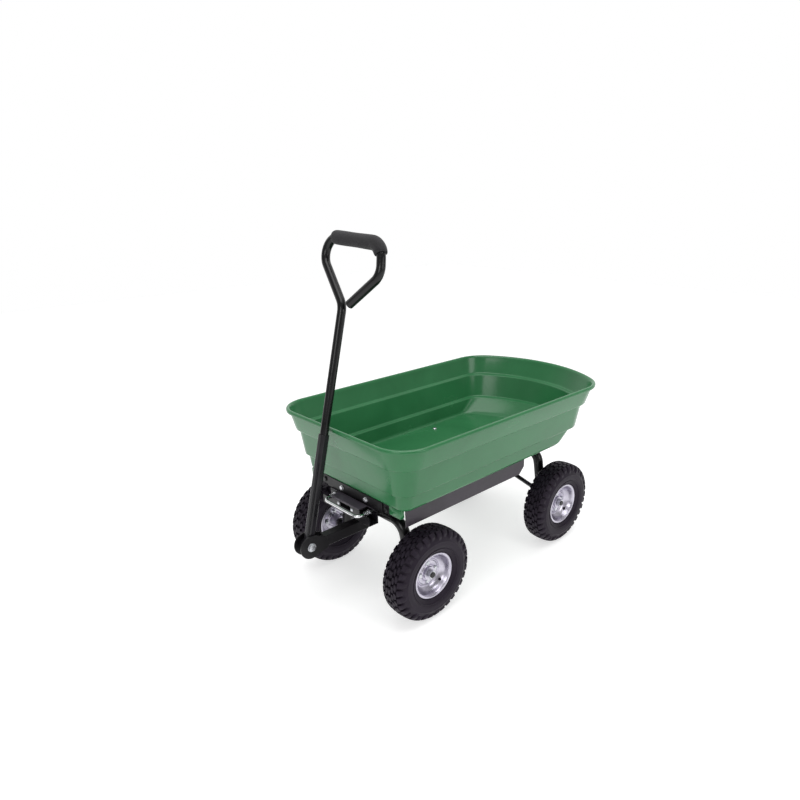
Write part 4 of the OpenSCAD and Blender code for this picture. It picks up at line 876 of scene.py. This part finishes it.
def foam_sleeve():
    """A sleeve swept round the top bar and the right shoulder: swollen between its rounded ends."""
    start_y, end_along, bar_steps, sides = -62, 722, 40, 36
    bore, rim, body, swell = 11.2, 14.0, 14.9, 1.2
    route = rounded_path([Vector((*c, 0)) for c in loop_corners], loop_radii, 4)
    bend = [p for p in route if p.x > 0 and p.y > end_along]
    (y0, along0), (y1, along1) = loop_corners[2:4]
    first = Vector((start_y, along0 + (along1 - along0) * (start_y - y0) / (y1 - y0), 0))
    line = [first.lerp(bend[0], k / bar_steps) for k in range(bar_steps)] + bend
    last = len(line) - 1
    lengths = [0.0]
    for p, q in zip(line, line[1:]):
        lengths.append(lengths[-1] + (q - p).length)
    # each row is a place along the line and, at the two flat ends, a fixed radius
    rows = [(0, bore), (0, rim)] + [(i, None) for i in range(last + 1)] + [(last, rim), (last, bore)]
    points = []
    for i, fixed in rows:
        along = (line[min(i + 1, last)] - line[max(i - 1, 0)]).normalized()
        near = min(lengths[i], lengths[-1] - lengths[i])
        radius = fixed
        if fixed is None:
            radius = body + swell * (1 - math.exp(-near / 3.0)) + 0.25 * math.sin(lengths[i] / 17.0)
        for k in range(sides):
            a = math.tau * k / sides
            # the palm's side is pressed a little flat
            flat = 1.0 - 0.03 * max(0.0, math.sin(a)) * math.sin(math.pi * lengths[i] / lengths[-1])
            out = radius * math.cos(a) * flat
            points.append(on_handle(line[i].x - along.y * out, line[i].y + along.x * out, radius * math.sin(a)))
    return points, skin_rows(len(rows), sides)


sleeve_mesh = solid_mesh("foam_grip_sleeve", [foam_sleeve()], foam)
sleeve = add_piece("foam_grip_sleeve", sleeve_mesh, "handle", "black_foam", "grip")
plug_plastic = moulded_plastic("moulded_polyethylene_black", "121114", "1a191c", 0.5)
loop_end, loop_turn = on_handle(*loop_corners[-1]), on_handle(*loop_corners[-2])
plug_turn = (loop_end - loop_turn).to_track_quat("Z", "Y").to_matrix().to_4x4()
plug = prism(32, [(8.4, -12), (8.4, -0.4), (loop_r, 0.1), (loop_r, 1.6), (9.2, 2.8)])
plug_mesh = solid_mesh("loop_end_plug", [plug], plug_plastic)
plug_mesh.transform(Matrix.Translation(loop_end) @ plug_turn)
add_piece("loop_end_plug", plug_mesh, "handle", "black_plastic", "end_plug")

# Studio: a sheet of white paper for a floor, three soft lights and a white sweep behind the cart,
# and a camera at the photograph's place and angle. Places and sizes in this section are in metres.
floor_half = 6
floor_mesh = bpy.data.meshes.new("studio_floor")
floor_mesh.from_pydata([(x * floor_half, y * floor_half, 0) for x, y in ((-1, -1), (1, -1), (1, 1), (-1, 1))],
                       [], [(0, 1, 2, 3)])
floor = stand("studio_floor", floor_mesh)
paper, tree, where = start_material("matte_studio_paper")
tone = two_tones(tree, noise(tree, where, 40, 2.0), "d8d8d8", "dcdcdc")
# the paper glows a little, so that it runs out to plain white as in the photograph
close_material(tree, {"Base Color": (tone, "Color"), "Roughness": 0.9,
                      "Emission Color": linear("ffffff"), "Emission Strength": 0.58})
floor.data.materials.append(paper)


def soft_light(name, place, aim, size, power):
    """A square softbox of this size and power at a place, turned towards its aim."""
    lamp = bpy.data.lights.new(name, "AREA")
    lamp.shape = "SQUARE"
    lamp.size = size
    lamp.energy = power
    made = stand(name, lamp)
    made.location = place
    made.rotation_euler = (Vector(aim) - Vector(place)).to_track_quat("-Z", "Y").to_euler()


soft_light("overhead_softbox", (0.2, 0.3, 2.6), (0, 0, 0.3), 2.0, 36)
soft_light("front_softbox", (2.4, 1.0, 1.5), (0, 0, 0.35), 1.0, 12)
soft_light("side_softbox", (-0.4, 2.8, 1.4), (0, 0, 0.35), 1.2, 13)
# the room is a white sweep behind the cart and dimmer on the camera's side, fixed to the world
world = bpy.data.worlds.new("studio_room")
world.use_nodes = True
room = world.node_tree
room.nodes.clear()
ray = add_node(room, "ShaderNodeTexCoord")
away = add_node(room, "ShaderNodeVectorMath", {"operation": "DOT_PRODUCT"}, {
    0: (ray, "Generated"), 1: (-0.69, -0.71, 0.1)})
glow = add_node(room, "ShaderNodeMapRange", inputs={
    "Value": (away, "Value"), "From Min": 0.0, "From Max": 0.65, "To Min": 0.34, "To Max": 1.0})
sweep = add_node(room, "ShaderNodeBackground", inputs={
    "Color": linear("ffffff"), "Strength": (glow, "Result")})
add_node(room, "ShaderNodeOutputWorld", inputs={"Surface": (sweep, "Background")})
bpy.context.scene.world = world
bpy.context.scene.view_settings.view_transform = "Standard"

camera = bpy.data.cameras.new("photo_camera")
camera.sensor_width = 36
camera.lens = 27.78
camera.shift_x = -0.0559
camera.shift_y = 0.0944
camera.clip_start = 0.05
eye = stand("photo_camera", camera)
eye.location = (1.1872, 1.2105, 1.0379)
camera_aim, camera_roll = Vector((-0.013, 0, 0.25)), -0.006
look = (camera_aim - Vector(eye.location)).to_track_quat("-Z", "Y").to_matrix()
eye.rotation_euler = (look @ Matrix.Rotation(camera_roll, 3, "Z")).to_euler()
bpy.context.scene.camera = eye
